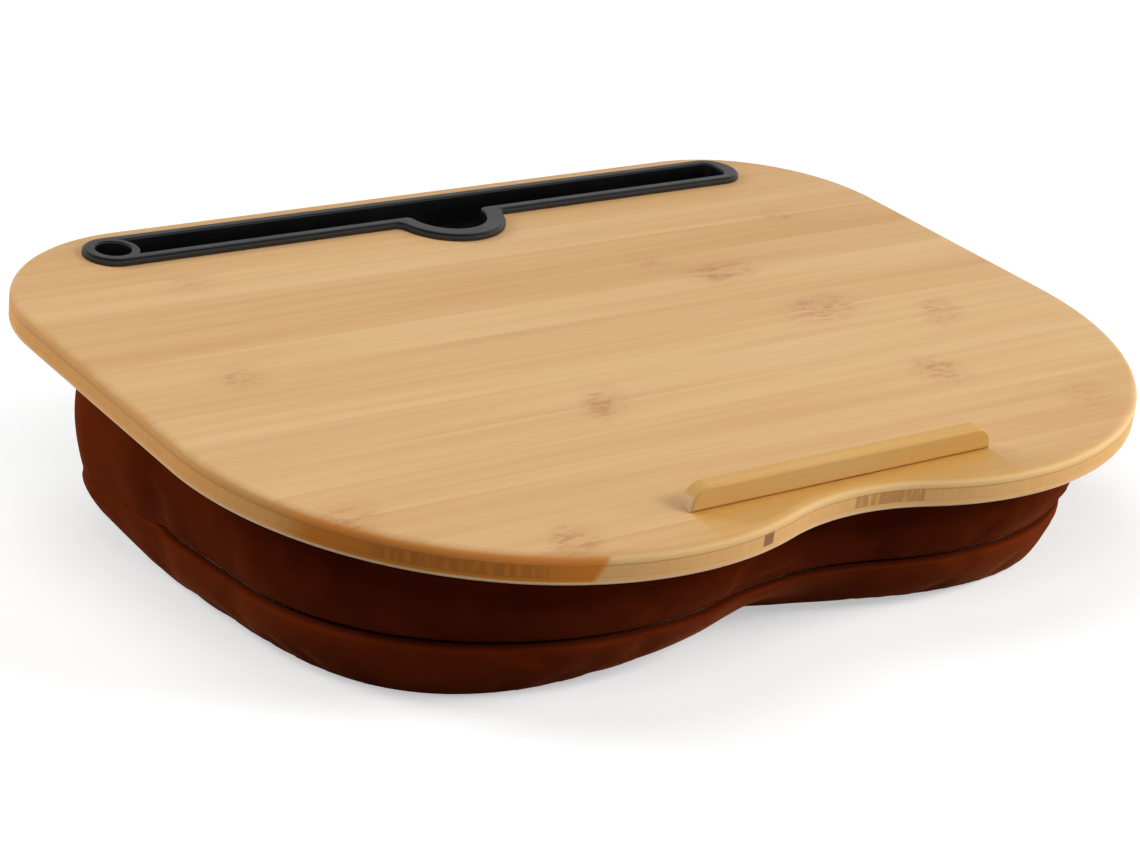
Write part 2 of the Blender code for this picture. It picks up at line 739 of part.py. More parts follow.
def stand_on_floor():
    """Tilts the board's frame and puts the foot on the floor, centred under the box."""
    cosine, sine = math.cos(BOARD_TILT), math.sin(BOARD_TILT)
    front = BOARD_FRONT * cosine - BOARD_THICKNESS * sine
    back = BOARD_BACK * cosine
    BOARD_FRAME.rotation_euler = (BOARD_TILT, 0.0, 0.0)
    BOARD_FRAME.location = (0.0, -(front + back) / 2, FOOT_DROP * cosine)


TRAY_HOLE = layered("tray_hole", body_outline, [(-CLEARANCE, -OVERRUN),
                    (-CLEARANCE, BOARD_THICKNESS + OVERRUN)], cutter=True)


def main():
    plies = make_board()
    make_tray()
    ledge = make_ledge()
    panel = plate("base_panel", panel_outline(), PANEL_BOTTOM, PANEL_TOP)
    band, _ = make_cover()
    make_bead_bag()
    for index, side in enumerate((-1, 1)):
        length = BOARD_THICKNESS + CLEARANCE + LEDGE_SCREW_BITE
        make_screw("ledge_screw_%d" % (index + 1), side * (LEDGE_LENGTH / 2 - LEDGE_SCREW_SETBACK),
                   ledge_line(), 0.0, length, plies + [ledge])
    spread = BOARD_HALF - PANEL_SCREW_SIDE_SETBACK
    reach = BOARD_BACK - PANEL_SCREW_EDGE_SETBACK
    spots = [(column * spread, row * reach) for row in (-1, 1) for column in (-1, 0, 1)]
    for index, (x, y) in enumerate(spots):
        length = PANEL_SCREW_BITE - PANEL_BOTTOM
        make_screw("panel_screw_%d" % (index + 1), x, y, PANEL_BOTTOM, length,
                   [panel] + plies[:2])
    make_staples(panel, band)
    for name, material in MATERIAL_USE.items():
        finish(bpy.data.objects[name], material)
    stand_on_floor()


main()
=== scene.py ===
"""Looks of the cushioned bamboo lap desk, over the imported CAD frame.

Board pieces are made in the board's own frame, with X along the slot, Y from
front to back and Z up from the underside of the board, and BOARD places them in
the world. The cushion's cover is made in the same frame from the same outlines
as the CAD, with many more stations, and cloth simulation fills it out.
"""

import math
from collections import namedtuple

import bmesh
import bpy
import numpy as np
from mathutils import Matrix, Vector


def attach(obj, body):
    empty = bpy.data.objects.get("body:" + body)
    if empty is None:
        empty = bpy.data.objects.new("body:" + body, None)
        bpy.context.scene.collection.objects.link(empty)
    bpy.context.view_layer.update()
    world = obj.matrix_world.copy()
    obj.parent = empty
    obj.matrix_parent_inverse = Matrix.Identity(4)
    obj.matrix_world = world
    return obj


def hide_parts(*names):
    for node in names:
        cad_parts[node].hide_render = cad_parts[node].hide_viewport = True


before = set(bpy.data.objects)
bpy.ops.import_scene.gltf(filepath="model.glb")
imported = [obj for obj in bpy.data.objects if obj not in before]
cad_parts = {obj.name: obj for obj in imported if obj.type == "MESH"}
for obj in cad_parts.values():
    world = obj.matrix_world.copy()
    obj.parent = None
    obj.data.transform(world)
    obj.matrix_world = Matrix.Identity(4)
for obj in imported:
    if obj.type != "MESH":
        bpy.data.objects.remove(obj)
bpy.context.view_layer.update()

# Board, as in the CAD
BOARD_WIDTH = 0.440
BOARD_DEPTH = 0.331
BACK_CORNER_RADIUS = 0.074
FRONT_LOBE_SPACING = 0.160
BELLY_DEPTH = 0.0136
BACK_PLY = 0.003
CORE_PLY = 0.005
FACE_PLY = 0.004
GLUE_LINE = 0.0001
TOP_ROUND_RADIUS = 0.0034
UNDERSIDE_EASE = 0.0006
BOARD_TILT = math.radians(8.0)
BOARD_RISE = 0.080509
BOARD_FORWARD = 0.000835
CLEARANCE = 0.0003
OVERRUN = 0.004
WELD_DISTANCE = 0.00001

# Slot tray, as in the CAD
SLOT_SETBACK = 0.0251
SLOT_WIDTH = 0.0154
SLOT_RIGHT_SETBACK = 0.0570
SLOT_CORNER_RADIUS = 0.0045
TRAY_WALL = 0.0016
TRAY_FLOOR = 0.0014
RIM_WIDTH = 0.0053
RIM_PROUD = 0.0030
RIM_DROP = 0.0014
RIM_SLOPE = 0.0020
LIP_ROUND = 0.0009
RIM_RIGHT_WIDTH = 0.0092
PEN_SETBACK = 0.0620
PEN_RADIUS = 0.0076
PEN_RING_WALL = 0.0035
NOTCH_RADIUS = 0.0181
NOTCH_CENTRE_OFFSET = 0.0092
NOTCH_SHIFT = 0.0014
NOTCH_RIM_WIDTH = 0.0085
NOTCH_FILLET = 0.0034

# Ledge and screws, as in the CAD
LEDGE_LENGTH = 0.148
LEDGE_HEIGHT = 0.0095
LEDGE_DEPTH = 0.0072
LEDGE_END_RADIUS = 0.0080
LEDGE_EDGE_ROUND = 0.0012
LEDGE_SETBACK = 0.0203
LEDGE_SCREW_SETBACK = 0.024
LEDGE_SCREW_BITE = 0.0055
PANEL_SCREW_SIDE_SETBACK = 0.080
PANEL_SCREW_EDGE_SETBACK = 0.0905
PANEL_SCREW_BITE = 0.0060
SCREW_SHANK_RADIUS = 0.0015
SCREW_HEAD_RADIUS = 0.0031
SCREW_HEAD_DEPTH = 0.0020
SCREW_SINK = 0.0002

# Cushion, as in the CAD
PANEL_THICKNESS = 0.0040
COVER_THICKNESS = 0.0012
COVER_INSET = 0.0304
COVER_SHIFT = 0.0053
FULL_CORNER = 0.0040
FULL_CORNER_ANGLE = math.radians(35.0)
FULL_CORNER_SPREAD = math.radians(35.0)
SEAM_DROP = 0.0526
SEAM_TILT = math.radians(6.8)
BAND_LEAN = 0.0028
BAND_BULGE = 0.0050
HEM_TOP = -0.0012
HEM_WIDTH = 0.0120
HEM_ROUND = 0.0012
DOME_DEPTH = 0.0287
FOOT_SIDE_INSET = 0.0453
FOOT_FRONT_INSET = 0.0305
FOOT_BACK_INSET = 0.0695
FOOT_SHAPE_POWER = 3.7
FOOT_CUT = 0.0005

# Seam and dome, with a closer seam and a fuller dome than the CAD's
SEAM_CHANNEL = 0.0022
SEAM_LIP = 0.0022
SEAM_GAP = 0.0009
BELLY_TUCK_SHARE = 0.40
BELLY_TUCK_ANGLE = 0.61
BELLY_TUCK_TURN = 0.05
DOME_POWER = 1.57

# How the simulated cover fills out, at most by MOST_SWELL
CLOTH_SETTINGS = {
    "quality": 6,
    "mass": 0.2,
    "tension_stiffness": 12.0,
    "compression_stiffness": 12.0,
    "shear_stiffness": 5.0,
    "bending_stiffness": 2.0,
    "use_pressure": True,
    "uniform_pressure_force": 4.0,
    "shrink_min": -0.004,
}
CLOTH_FRAMES = 20
MOST_SWELL = 0.004
FOOT_PINNED_RINGS = 5

# The pinch where the seam was started, behind which it is faint on the left
PINCH_PLACE = (-0.190, 0.033)
PINCH_SPREAD = 0.010
PINCH_DEPTH = 0.0016
FAINT_SEAM = 0.12
SEAM_FADE = 0.12
THREAD_RADIUS = 0.0006
THREAD_SIDES = 8

# Rings of the band and of the dome that the bead bag starts from
BAG_BAND_RING = 8
BAG_DOME_RING = 2

# Finer counts than the CAD's
CORNER_STEPS = 36
BELLY_STEPS = 20
SMALL_ARC_STEPS = 20
ROUND_STEPS = 8
CUSHION_STATIONS = 240
TURN_LENGTH = 0.05
BAND_STEPS = 26
LIP_STEPS = 5
DOME_STEPS = 34
FOOT_STEPS = 6
TURN_STEPS = 24
SMOOTH_ANGLE = math.radians(38.0)

# Worked out from the sizes above
BOARD_THICKNESS = BACK_PLY + CORE_PLY + FACE_PLY
BOARD_HALF = BOARD_WIDTH / 2
FRONT_CORNER_RADIUS = BOARD_HALF - FRONT_LOBE_SPACING / 2
BOARD_FRONT = -BOARD_DEPTH / 2
BOARD_BACK = BOARD_DEPTH / 2
SLOT_LINE = BOARD_BACK - SLOT_SETBACK
SLOT_RIGHT_END = BOARD_HALF - SLOT_RIGHT_SETBACK
FLANGE_RIGHT_END = SLOT_RIGHT_END + RIM_RIGHT_WIDTH
PEN_PLACE = PEN_SETBACK - BOARD_HALF
NOTCH_CENTRE = (NOTCH_SHIFT, SLOT_LINE - NOTCH_CENTRE_OFFSET)
LEDGE_LINE = BOARD_FRONT + LEDGE_SETBACK + LEDGE_DEPTH / 2
LEDGE_SCREW_PLACE = LEDGE_LENGTH / 2 - LEDGE_SCREW_SETBACK
PANEL_SCREW_X = BOARD_HALF - PANEL_SCREW_SIDE_SETBACK
PANEL_SCREW_Y = BOARD_BACK - PANEL_SCREW_EDGE_SETBACK
PANEL_BOTTOM = HEM_TOP - COVER_THICKNESS - CLEARANCE - PANEL_THICKNESS
FOOT_DROP = SEAM_DROP + DOME_DEPTH
HEM_INSETS = (HEM_WIDTH, HEM_WIDTH / 2, HEM_ROUND / 2)
CUSHION_MIDDLE = np.array([0.0, -COVER_SHIFT])
QUARTER = math.pi / 2
BOARD = (Matrix.Translation((0.0, BOARD_FORWARD, BOARD_RISE))
         @ Matrix.Rotation(BOARD_TILT, 4, "X"))
WORLD = Matrix.Identity(4)


# Outlines, as in the CAD

def arc(centre, radius, start, end, steps):
    """Points on an arc between two angles, both ends included."""
    angles = np.linspace(start, end, steps + 1)
    return [(centre[0] + radius * math.cos(a), centre[1] + radius * math.sin(a)) for a in angles]


def board_outline(inset=0.0):
    """The board's outline moved inwards, counterclockwise from the front middle."""
    offset = BOARD_HALF - FRONT_CORNER_RADIUS
    rise = FRONT_CORNER_RADIUS - BELLY_DEPTH
    spare = offset ** 2 + rise ** 2 - FRONT_CORNER_RADIUS ** 2
    belly_radius = spare / (2 * (FRONT_CORNER_RADIUS - rise))
    belly_centre = (0.0, BOARD_FRONT + BELLY_DEPTH - belly_radius)
    front_centre = (offset, BOARD_FRONT + FRONT_CORNER_RADIUS)
    back_centre = (BOARD_HALF - BACK_CORNER_RADIUS, BOARD_BACK - BACK_CORNER_RADIUS)
    lean = math.atan2(front_centre[1] - belly_centre[1], front_centre[0] - belly_centre[0])
    half = arc(belly_centre, belly_radius + inset, QUARTER, lean, BELLY_STEPS)
    front_radius = FRONT_CORNER_RADIUS - inset
    half += arc(front_centre, front_radius, lean - math.pi, 0.0, 2 * CORNER_STEPS)[1:]
    half += arc(back_centre, BACK_CORNER_RADIUS - inset, 0.0, QUARTER, CORNER_STEPS)
    return half + [(-x, y) for x, y in reversed(half[1:])]


def notched_front(line, radius, fillet):
    """The front side of a tray outline, left to right, round the finger notch."""
    middle, depth = NOTCH_CENTRE
    low = line - fillet
    half = math.sqrt((radius + fillet) ** 2 - (depth - low) ** 2)
    reach = math.atan2(low - depth, half)
    steps = SMALL_ARC_STEPS // 2
    left = arc((middle - half, low), fillet, QUARTER, -reach, steps)
    bowl = arc(NOTCH_CENTRE, radius, math.pi - reach, 2 * math.pi + reach, 4 * steps)
    right = arc((middle + half, low), fillet, math.pi + reach, QUARTER, steps)
    return left + bowl[1:-1] + right


def without_repeats(points):
    """The outline without a point that lies on the one before it."""
    return [point for index, point in enumerate(points)
            if math.dist(point, points[index - 1]) > WELD_DISTANCE]


def right_end(half_depth, end, radius):
    """The rounded right end of a tray outline, from its front side to its back side."""
    low = (end - radius, SLOT_LINE - half_depth + radius)
    high = (end - radius, SLOT_LINE + half_depth - radius)
    return (arc(low, radius, -QUARTER, 0.0, SMALL_ARC_STEPS)
            + arc(high, radius, 0.0, QUARTER, SMALL_ARC_STEPS))


def tray_outline(half_depth, end, radius, notch, fillet):
    """A long outline with a round left end, a notched front and a rounded right end."""
    points = notched_front(SLOT_LINE - half_depth, notch, fillet)
    points += right_end(half_depth, end, radius)
    points += arc((PEN_PLACE, SLOT_LINE), half_depth, QUARTER, 3 * QUARTER, 2 * SMALL_ARC_STEPS)
    return without_repeats(points)


def body_outline(inset):
    """Outside of the tray's walls, or (inset below 0) the hole that they drop into."""
    wall = TRAY_WALL - inset
    return tray_outline(SLOT_WIDTH / 2 + wall, SLOT_RIGHT_END + wall, SLOT_CORNER_RADIUS + wall,
                        NOTCH_RADIUS + wall, NOTCH_FILLET - wall)


def flange_outline(inset):
    """Outside of the rim that lies on the board."""
    half = SLOT_WIDTH / 2 + RIM_WIDTH - inset
    return tray_outline(half, FLANGE_RIGHT_END - inset, half,
                        NOTCH_RADIUS + NOTCH_RIM_WIDTH - inset, NOTCH_FILLET + inset)


def opening_outline(inset):
    """The slot that a phone stands in, whose left end bends round the pen ring."""
    half = SLOT_WIDTH / 2 - inset
    ring = PEN_RADIUS + PEN_RING_WALL + inset
    lean = math.asin(half / ring)
    points = notched_front(SLOT_LINE - half, NOTCH_RADIUS - inset, NOTCH_FILLET + inset)
    points += right_end(half, SLOT_RIGHT_END - inset, SLOT_CORNER_RADIUS - inset)
    points += arc((PEN_PLACE, SLOT_LINE), ring, lean, -lean, SMALL_ARC_STEPS)
    return without_repeats(points)


def ledge_outline(inset):
    """The bar seen from the front: flat below, with its top ends rounded off."""
    half = LEDGE_LENGTH / 2
    centre_x = half - LEDGE_END_RADIUS
    centre_y = LEDGE_HEIGHT - LEDGE_END_RADIUS
    radius = LEDGE_END_RADIUS - inset
    outline = [(-half + inset, inset), (half - inset, inset)]
    outline += arc((centre_x, centre_y), radius, 0.0, QUARTER, SMALL_ARC_STEPS)
    return outline + arc((-centre_x, centre_y), radius, QUARTER, 2 * QUARTER, SMALL_ARC_STEPS)


# Builders

def add(name, mesh):
    """A new object with the mesh, in the scene."""
    item = bpy.data.objects.new(name, mesh)
    bpy.context.scene.collection.objects.link(item)
    return item


def loft(name, rings, caps=(True, True), closed=False):
    """A skin through rings of equal count, closed on itself or with caps on the chosen ends."""
    shape = bmesh.new()
    rows = [[shape.verts.new(point) for point in ring] for ring in rings]
    following = rows[1:] + rows[:1] if closed else rows[1:]
    for lower, upper in zip(rows, following):
        for index in range(len(lower)):
            after = (index + 1) % len(lower)
            shape.faces.new((lower[index], lower[after], upper[after], upper[index]))
    for wanted, row in zip(caps, (rows[0], rows[-1])):
        if wanted:
            shape.faces.new(row)
    bmesh.ops.recalc_face_normals(shape, faces=shape.faces)
    mesh = bpy.data.meshes.new(name)
    shape.to_mesh(mesh)
    shape.free()
    return add(name, mesh)


def round_over(radius, top, drop=None):
    """Inset and level of each ring of a quarter-round edge that ends at the top.

    With a drop, the edge falls by that much over the radius, as part of an ellipse.
    """
    fall = radius if drop is None else drop
    angles = np.linspace(0.0, QUARTER, ROUND_STEPS + 1)
    return [(radius * (1 - math.cos(a)), top - fall * (1 - math.sin(a))) for a in angles]


def layered(name, outline_at, steps):
    """A plate whose outline is moved inwards by a given amount at each given level."""
    return loft(name, [[(x, y, level) for x, y in outline_at(inset)] for inset, level in steps])


def turned(name, profile, centre):
    """A profile of radius and height, spun about a vertical line through centre."""
    x, y, z = centre
    turns = np.linspace(0.0, 2 * math.pi, TURN_STEPS, endpoint=False)
    return loft(name, [[(x + radius * math.cos(turn), y + radius * math.sin(turn), z + height)
                        for turn in turns] for radius, height in profile])


def combine(item, tools, operation):
    """Cuts the tools from the item, or joins them to it."""
    for tool in tools:
        boolean = item.modifiers.new(operation.lower(), "BOOLEAN")
        boolean.operation = operation
        boolean.solver = "EXACT"
        boolean.object = tool
    bake(item)


def bake(item):
    """The item's mesh with its modifiers applied."""
    bpy.context.view_layer.update()
    graph = bpy.context.evaluated_depsgraph_get()
    mesh = bpy.data.meshes.new_from_object(item.evaluated_get(graph))
    item.modifiers.clear()
    item.data = mesh


def remove(items):
    """Takes helper objects out of the file."""
    for item in items:
        bpy.data.objects.remove(item, do_unlink=True)


def install(item, material, slot, *nodes, at=BOARD):
    """Gives a piece its surface and place, and hides the CAD nodes that it replaces."""
    item.data.materials.clear()
    item.data.materials.append(material)
    item.data.shade_smooth()
    item.data.set_sharp_from_angle(angle=SMOOTH_ANGLE)
    item.data.transform(at.inverted() @ BOARD)
    item.matrix_world = at
    bpy.context.view_layer.update()
    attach(item, "root")
    if nodes:
        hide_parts(*nodes)


def flat_stays_flat(item):
    """Keeps the round edges' shading off the flat faces beside them."""
    weighted = item.modifiers.new("weighted_normals", "WEIGHTED_NORMAL")
    weighted.mode = "FACE_AREA"
    weighted.keep_sharp = True


# Board

def screw_hole(x, y, seat, length):
    """The room for a screw that goes up from the face at seat."""
    shank = SCREW_SHANK_RADIUS + CLEARANCE
    head = SCREW_HEAD_RADIUS + CLEARANCE
    profile = [(shank, length + CLEARANCE), (shank, SCREW_HEAD_DEPTH), (head, -CLEARANCE),
               (head, -OVERRUN)]
    return turned("screw_hole", profile, (x, y, seat + SCREW_SINK))


def make_board(surfaces):
    """The three plies, with the tray's hole and the screws' holes through them."""
    core_low = BACK_PLY
    face_low = BACK_PLY + CORE_PLY
    steps = {
        "back": [(UNDERSIDE_EASE, 0.0), (0.0, UNDERSIDE_EASE), (0.0, core_low - GLUE_LINE)],
        "core": [(0.0, core_low), (0.0, face_low - GLUE_LINE)],
        "face": [(0.0, face_low)] + round_over(TOP_ROUND_RADIUS, BOARD_THICKNESS),
    }
    hole = layered("tray_hole", body_outline,
                   [(-CLEARANCE, -OVERRUN), (-CLEARANCE, BOARD_THICKNESS + OVERRUN)])
    long_holes = [screw_hole(side * LEDGE_SCREW_PLACE, LEDGE_LINE, 0.0,
                             BOARD_THICKNESS + CLEARANCE + LEDGE_SCREW_BITE)
                  for side in (-1, 1)]
    short_holes = [screw_hole(column * PANEL_SCREW_X, row * PANEL_SCREW_Y, PANEL_BOTTOM,
                              PANEL_SCREW_BITE - PANEL_BOTTOM)
                   for row in (-1, 1) for column in (-1, 0, 1)]
    for layer, rings in steps.items():
        ply = layered("bamboo_%s_layer" % layer, board_outline, rings)
        tools = [hole] + long_holes + ([] if layer == "face" else short_holes)
        combine(ply, tools, "DIFFERENCE")
        flat_stays_flat(ply)
        install(ply, surfaces["bamboo_" + layer], "bamboo_" + layer, "board_%s_ply" % layer)
    remove([hole] + short_holes)
    return long_holes


# Slot tray

def make_tray(surface):
    """Rim on the board, walls and floor down through it, slot and pen hole cut out."""
    flange_low = BOARD_THICKNESS + CLEARANCE
    flange_top = BOARD_THICKNESS + RIM_PROUD
    floor_top = CLEARANCE + TRAY_FLOOR
    tray = layered("phone_and_pen_tray", flange_outline,
                   [(0.0, flange_low)] + round_over(RIM_SLOPE, flange_top, RIM_DROP))
    walls = layered("walls", body_outline,
                    [(0.0, CLEARANCE), (0.0, (flange_low + flange_top) / 2)])
    lip = [(-inset, level) for inset, level in round_over(LIP_ROUND, flange_top + WELD_DISTANCE)]
    flare = [(0.0, floor_top)] + lip + [(-LIP_ROUND, flange_top + OVERRUN)]
    slot = layered("slot", opening_outline, flare)
    pen = turned("pen", [(PEN_RADIUS - inset, level) for inset, level in flare],
                 (PEN_PLACE, SLOT_LINE, 0.0))
    combine(tray, [walls], "UNION")
    combine(tray, [slot, pen], "DIFFERENCE")
    remove([walls, slot, pen])
    flat_stays_flat(tray)
    install(tray, surface, "black_plastic", "slot_tray")


# Ledge

def make_ledge(surface, holes):
    """The bar, lofted from its front face to its back face with rounded edges."""
    back = round_over(LEDGE_EDGE_ROUND, LEDGE_DEPTH / 2)
    steps = [(inset, -level) for inset, level in reversed(back)] + back
    base = BOARD_THICKNESS + CLEARANCE
    ledge = loft("front_ledge", [[(x, LEDGE_LINE - level, base + z)
                                  for x, z in ledge_outline(inset)] for inset, level in steps])
    combine(ledge, holes, "DIFFERENCE")
    remove(holes)
    flat_stays_flat(ledge)
    install(ledge, surface, "bamboo_ledge", "ledge")


# Cushion

def evenly(points, count):
    """The same closed outline with count points, a little closer together in its bends."""
    closed = np.array(points + points[:1])
    sides = np.diff(closed, axis=0)
    heading = np.unwrap(np.arctan2(sides[:, 1], sides[:, 0]))
    turn = np.abs(np.diff(heading, append=heading[0] + 2 * math.pi))
    steps = np.hypot(*sides.T) + TURN_LENGTH * (turn + np.roll(turn, 1)) / 2
    along = np.concatenate([[0.0], np.cumsum(steps)])
    places = np.linspace(0.0, along[-1], count, endpoint=False)
    return np.column_stack([np.interp(places, along, closed[:, axis]) for axis in (0, 1)])


def outward_from(line):
    """Outward direction at each point of a closed line that runs counterclockwise."""
    along = np.roll(line, -1, axis=0) - np.roll(line, 1, axis=0)
    along /= np.hypot(*along.T)[:, None]
    return np.column_stack([along[:, 1], -along[:, 0]])


def seam_stations():
    """Places round the seam, fuller at the front corners, and the outward direction there."""
    seam = evenly(board_outline(COVER_INSET), CUSHION_STATIONS) + CUSHION_MIDDLE
    outward = outward_from(seam)
    turn = np.arctan2(outward[:, 1], np.abs(outward[:, 0])) + FULL_CORNER_ANGLE
    fullness = FULL_CORNER * np.exp(-(turn / FULL_CORNER_SPREAD) ** 2)
    seam = seam + outward * fullness[:, None]
    away = np.hypot(*(seam - np.array(PINCH_PLACE)).T)
    pinch = PINCH_DEPTH * np.exp(-(away / PINCH_SPREAD) ** 2)
    return seam - outward * pinch[:, None], outward


def seam_strength(seam):
    """How deeply the seam is sewn in: fully at the right and front, faintly at the back left."""
    right = np.clip(seam[:, 0] / SEAM_FADE + 0.5, 0.0, 1.0)
    left = np.where(seam[:, 1] > PINCH_PLACE[1], FAINT_SEAM, 1.0)
    return np.maximum(left, right)


def seam_height(y):
    """Height of the seam's line, in the board's frame."""
    return -(SEAM_DROP + math.tan(SEAM_TILT) * y)


def floor_height(y):
    """Height of the floor plane under the tilted board, in the board's frame."""
    return -(FOOT_DROP + math.tan(BOARD_TILT) * y)


def foot_places(seam):
    """The outline of the flat foot, which tucks in behind the belly, at each station."""
    away = seam - CUSHION_MIDDLE
    angle = np.arctan2(away[:, 1], away[:, 0])
    inset = np.where(away[:, 1] < 0.0, FOOT_FRONT_INSET, FOOT_BACK_INSET)
    depth = BOARD_BACK - inset
    wide = np.abs(np.cos(angle) / (BOARD_HALF - FOOT_SIDE_INSET)) ** FOOT_SHAPE_POWER
    deep = np.abs(np.sin(angle) / depth) ** FOOT_SHAPE_POWER
    reach = (wide + deep) ** (-1 / FOOT_SHAPE_POWER)
    from_front = (angle + QUARTER + BELLY_TUCK_TURN) / BELLY_TUCK_ANGLE
    reach *= 1 - BELLY_TUCK_SHARE * np.exp(-from_front ** 2)
    return CUSHION_MIDDLE + reach[:, None] * np.column_stack([np.cos(angle), np.sin(angle)])


def ring_of(places, heights):
    """A ring of points from their places and their heights."""
    return np.column_stack([places, np.broadcast_to(heights, len(places))])


def band_grid(seam, outward, gap):
    """Rings of the side band, from its hem over the panel down to the seam's lip."""
    low = seam_height(seam[:, 1]) + gap / 2
    start = HEM_TOP - HEM_ROUND
    rings = [ring_of(seam - outward * (BAND_LEAN + inset), HEM_TOP) for inset in HEM_INSETS]
    for share in np.linspace(0.0, 1.0, BAND_STEPS + 1):
        offset = BAND_BULGE * math.sin(math.pi * share) - BAND_LEAN * (1 - share) ** 2
        rings.append(ring_of(seam + outward * offset, start + (low + SEAM_LIP - start) * share))
    return np.array(rings)


def lip_rings(seam, outward, line, side, depth):
    """The rounded roll from full width into the seam channel, at the seam's height."""
    rings = []
    for angle in np.linspace(0.0, QUARTER, LIP_STEPS + 1)[1:]:
        offset = -depth * (1 - math.cos(angle))
        height = line + side * SEAM_LIP * (1 - math.sin(angle))
        rings.append(ring_of(seam + outward * offset[:, None], height))
    return rings


def dome_grid(seam, gap):
    """Rings of the bottom panel, from the seam's lip down to the flat foot and its middle."""
    foot = foot_places(seam)
    start = seam_height(seam[:, 1]) - gap / 2 - SEAM_LIP
    rings = []
    for angle in np.linspace(0.0, QUARTER, DOME_STEPS + 1):
        places = foot + (seam - foot) * max(math.cos(angle), 0.0) ** (2 / DOME_POWER)
        floor = floor_height(places[:, 1])
        fall = math.sin(angle) ** (2 / DOME_POWER)
        rings.append(ring_of(places, np.maximum(start + (floor - FOOT_CUT - start) * fall, floor)))
    for share in np.linspace(1.0, 0.0, FOOT_STEPS + 1)[1:-1]:
        places = CUSHION_MIDDLE + (foot - CUSHION_MIDDLE) * share
        rings.append(ring_of(places, floor_height(places[:, 1])))
    return np.array(rings)


def moved_inwards(grid, distance):
    """Rings moved inwards, against the outward normal of the surface that they make."""
    down = np.gradient(grid, axis=0)
    along = np.roll(grid, -1, axis=1) - np.roll(grid, 1, axis=1)
    normal = np.cross(down, along)
    normal /= np.linalg.norm(normal, axis=2)[:, :, None]
    return grid - normal * distance


def filled_out(grid, pinned):
    """The rings after a cloth simulation with pressure inside, none moved past MOST_SWELL."""
    rows, count = grid.shape[:2]
    item = loft("cloth_form", grid, caps=(False, False))
    group = item.vertex_groups.new(name="pinned")
    for row in pinned:
        group.add(list(range(row * count, (row + 1) * count)), 1.0, "REPLACE")
    cloth = item.modifiers.new("cloth", "CLOTH")
    for setting, value in CLOTH_SETTINGS.items():
        setattr(cloth.settings, setting, value)
    cloth.settings.vertex_group_mass = group.name
    cloth.settings.effector_weights.gravity = 0.0
    cloth.collision_settings.use_collision = False
    for number in range(1, CLOTH_FRAMES + 1):
        bpy.context.scene.frame_set(number)
    bake(item)
    moved = np.empty(grid.size)
    item.data.vertices.foreach_get("co", moved)
    remove([item])
    bpy.context.scene.frame_set(1)
    swell = moved.reshape(grid.shape) - grid
    length = np.maximum(np.linalg.norm(swell, axis=2), WELD_DISTANCE)
    return grid + swell * (MOST_SWELL * np.tanh(length / MOST_SWELL) / length)[:, :, None]


def fill_out(band, dome):
    """Fills out the band below its hem and the dome above its foot, held at seam and foot."""
    hem = len(HEM_INSETS)
    below_lip = len(band) - hem
    sheet = np.concatenate([band[hem:], dome[:DOME_STEPS + 1]])
    foot = range(len(sheet) - FOOT_PINNED_RINGS, len(sheet))
    sheet = filled_out(sheet, [0, below_lip - 1, below_lip, *foot])
    band[hem:] = sheet[:below_lip]
    dome[:DOME_STEPS + 1] = sheet[below_lip:]
    dome[:, :, 2] = np.maximum(dome[:, :, 2], floor_height(dome[:, :, 1]))


def make_cover(name, rings, caps, node, surface):
    """One sewn piece of the cover, with the cloth's thickness on its inside."""
    cover = loft(name, rings, caps)
    solidify = cover.modifiers.new("cloth_thickness", "SOLIDIFY")
    solidify.thickness = COVER_THICKNESS
    solidify.offset = -1.0
    bake(cover)
    install(cover, surface, "cover_fabric", node, at=WORLD)


def make_thread(seam, outward, line, surface):
    """The sewn line at the bottom of the seam channel, as a closed tube, near black as painted
    shade there.
    """
    centres = ring_of(seam - outward * (SEAM_CHANNEL + THREAD_RADIUS), line)
    rings = []
    for turn in np.linspace(0.0, 2 * math.pi, THREAD_SIDES, endpoint=False):
        aside = ring_of(outward * math.cos(turn), math.sin(turn))
        rings.append(centres + aside * THREAD_RADIUS)
    thread = loft("seam_thread", rings, caps=(False, False), closed=True)
    install(thread, surface, "cover_fabric", at=WORLD)


def make_bead_bag(seam, outward, line, band, dome, surface):
    """The filled inner bag, just inside the cover and under the panel."""
    inset = COVER_THICKNESS + CLEARANCE
    lid = PANEL_BOTTOM - CLEARANCE
    shoulder = ring_of(seam - outward * BAND_LEAN, lid)
    waist = ring_of(seam - outward * SEAM_CHANNEL, line)
    rings = np.concatenate([[shoulder], band[BAG_BAND_RING:-1], [waist], dome[BAG_DOME_RING:]])
    rings = moved_inwards(rings, inset)
    rings[-FOOT_STEPS:, :, 2] = floor_height(rings[-FOOT_STEPS:, :, 1]) + inset
    rings[0, :, 2] = lid
    bag = loft("bead_filling_bag", rings)
    install(bag, surface, "bead_fabric", "bead_bag", at=WORLD)


def make_cushion(surfaces):
    """Side band, bottom panel, the thread of the seam between them, and the bead bag."""
    seam, outward = seam_stations()
    strength = seam_strength(seam)
    gap = SEAM_GAP * strength
    depth = SEAM_CHANNEL * strength
    band = band_grid(seam, outward, gap)
    dome = dome_grid(seam, gap)
    fill_out(band, dome)
    line = seam_height(seam[:, 1])
    band_lip = lip_rings(seam, outward, line + gap / 2, 1.0, depth)
    dome_lip = lip_rings(seam, outward, line - gap / 2, -1.0, depth)
    cloth = surfaces["cover_fabric"]
    make_cover("cushion_side_band", [*band, *band_lip], (False, False), "cover_band", cloth)
    make_cover("cushion_bottom_panel", [*dome_lip[::-1], *dome], (False, True), "cover_bottom",
               cloth)
    make_thread(seam, outward, line, surfaces["seam_thread"])
    make_bead_bag(seam, outward, line, band, dome, surfaces["bead_fabric"])


# Materials

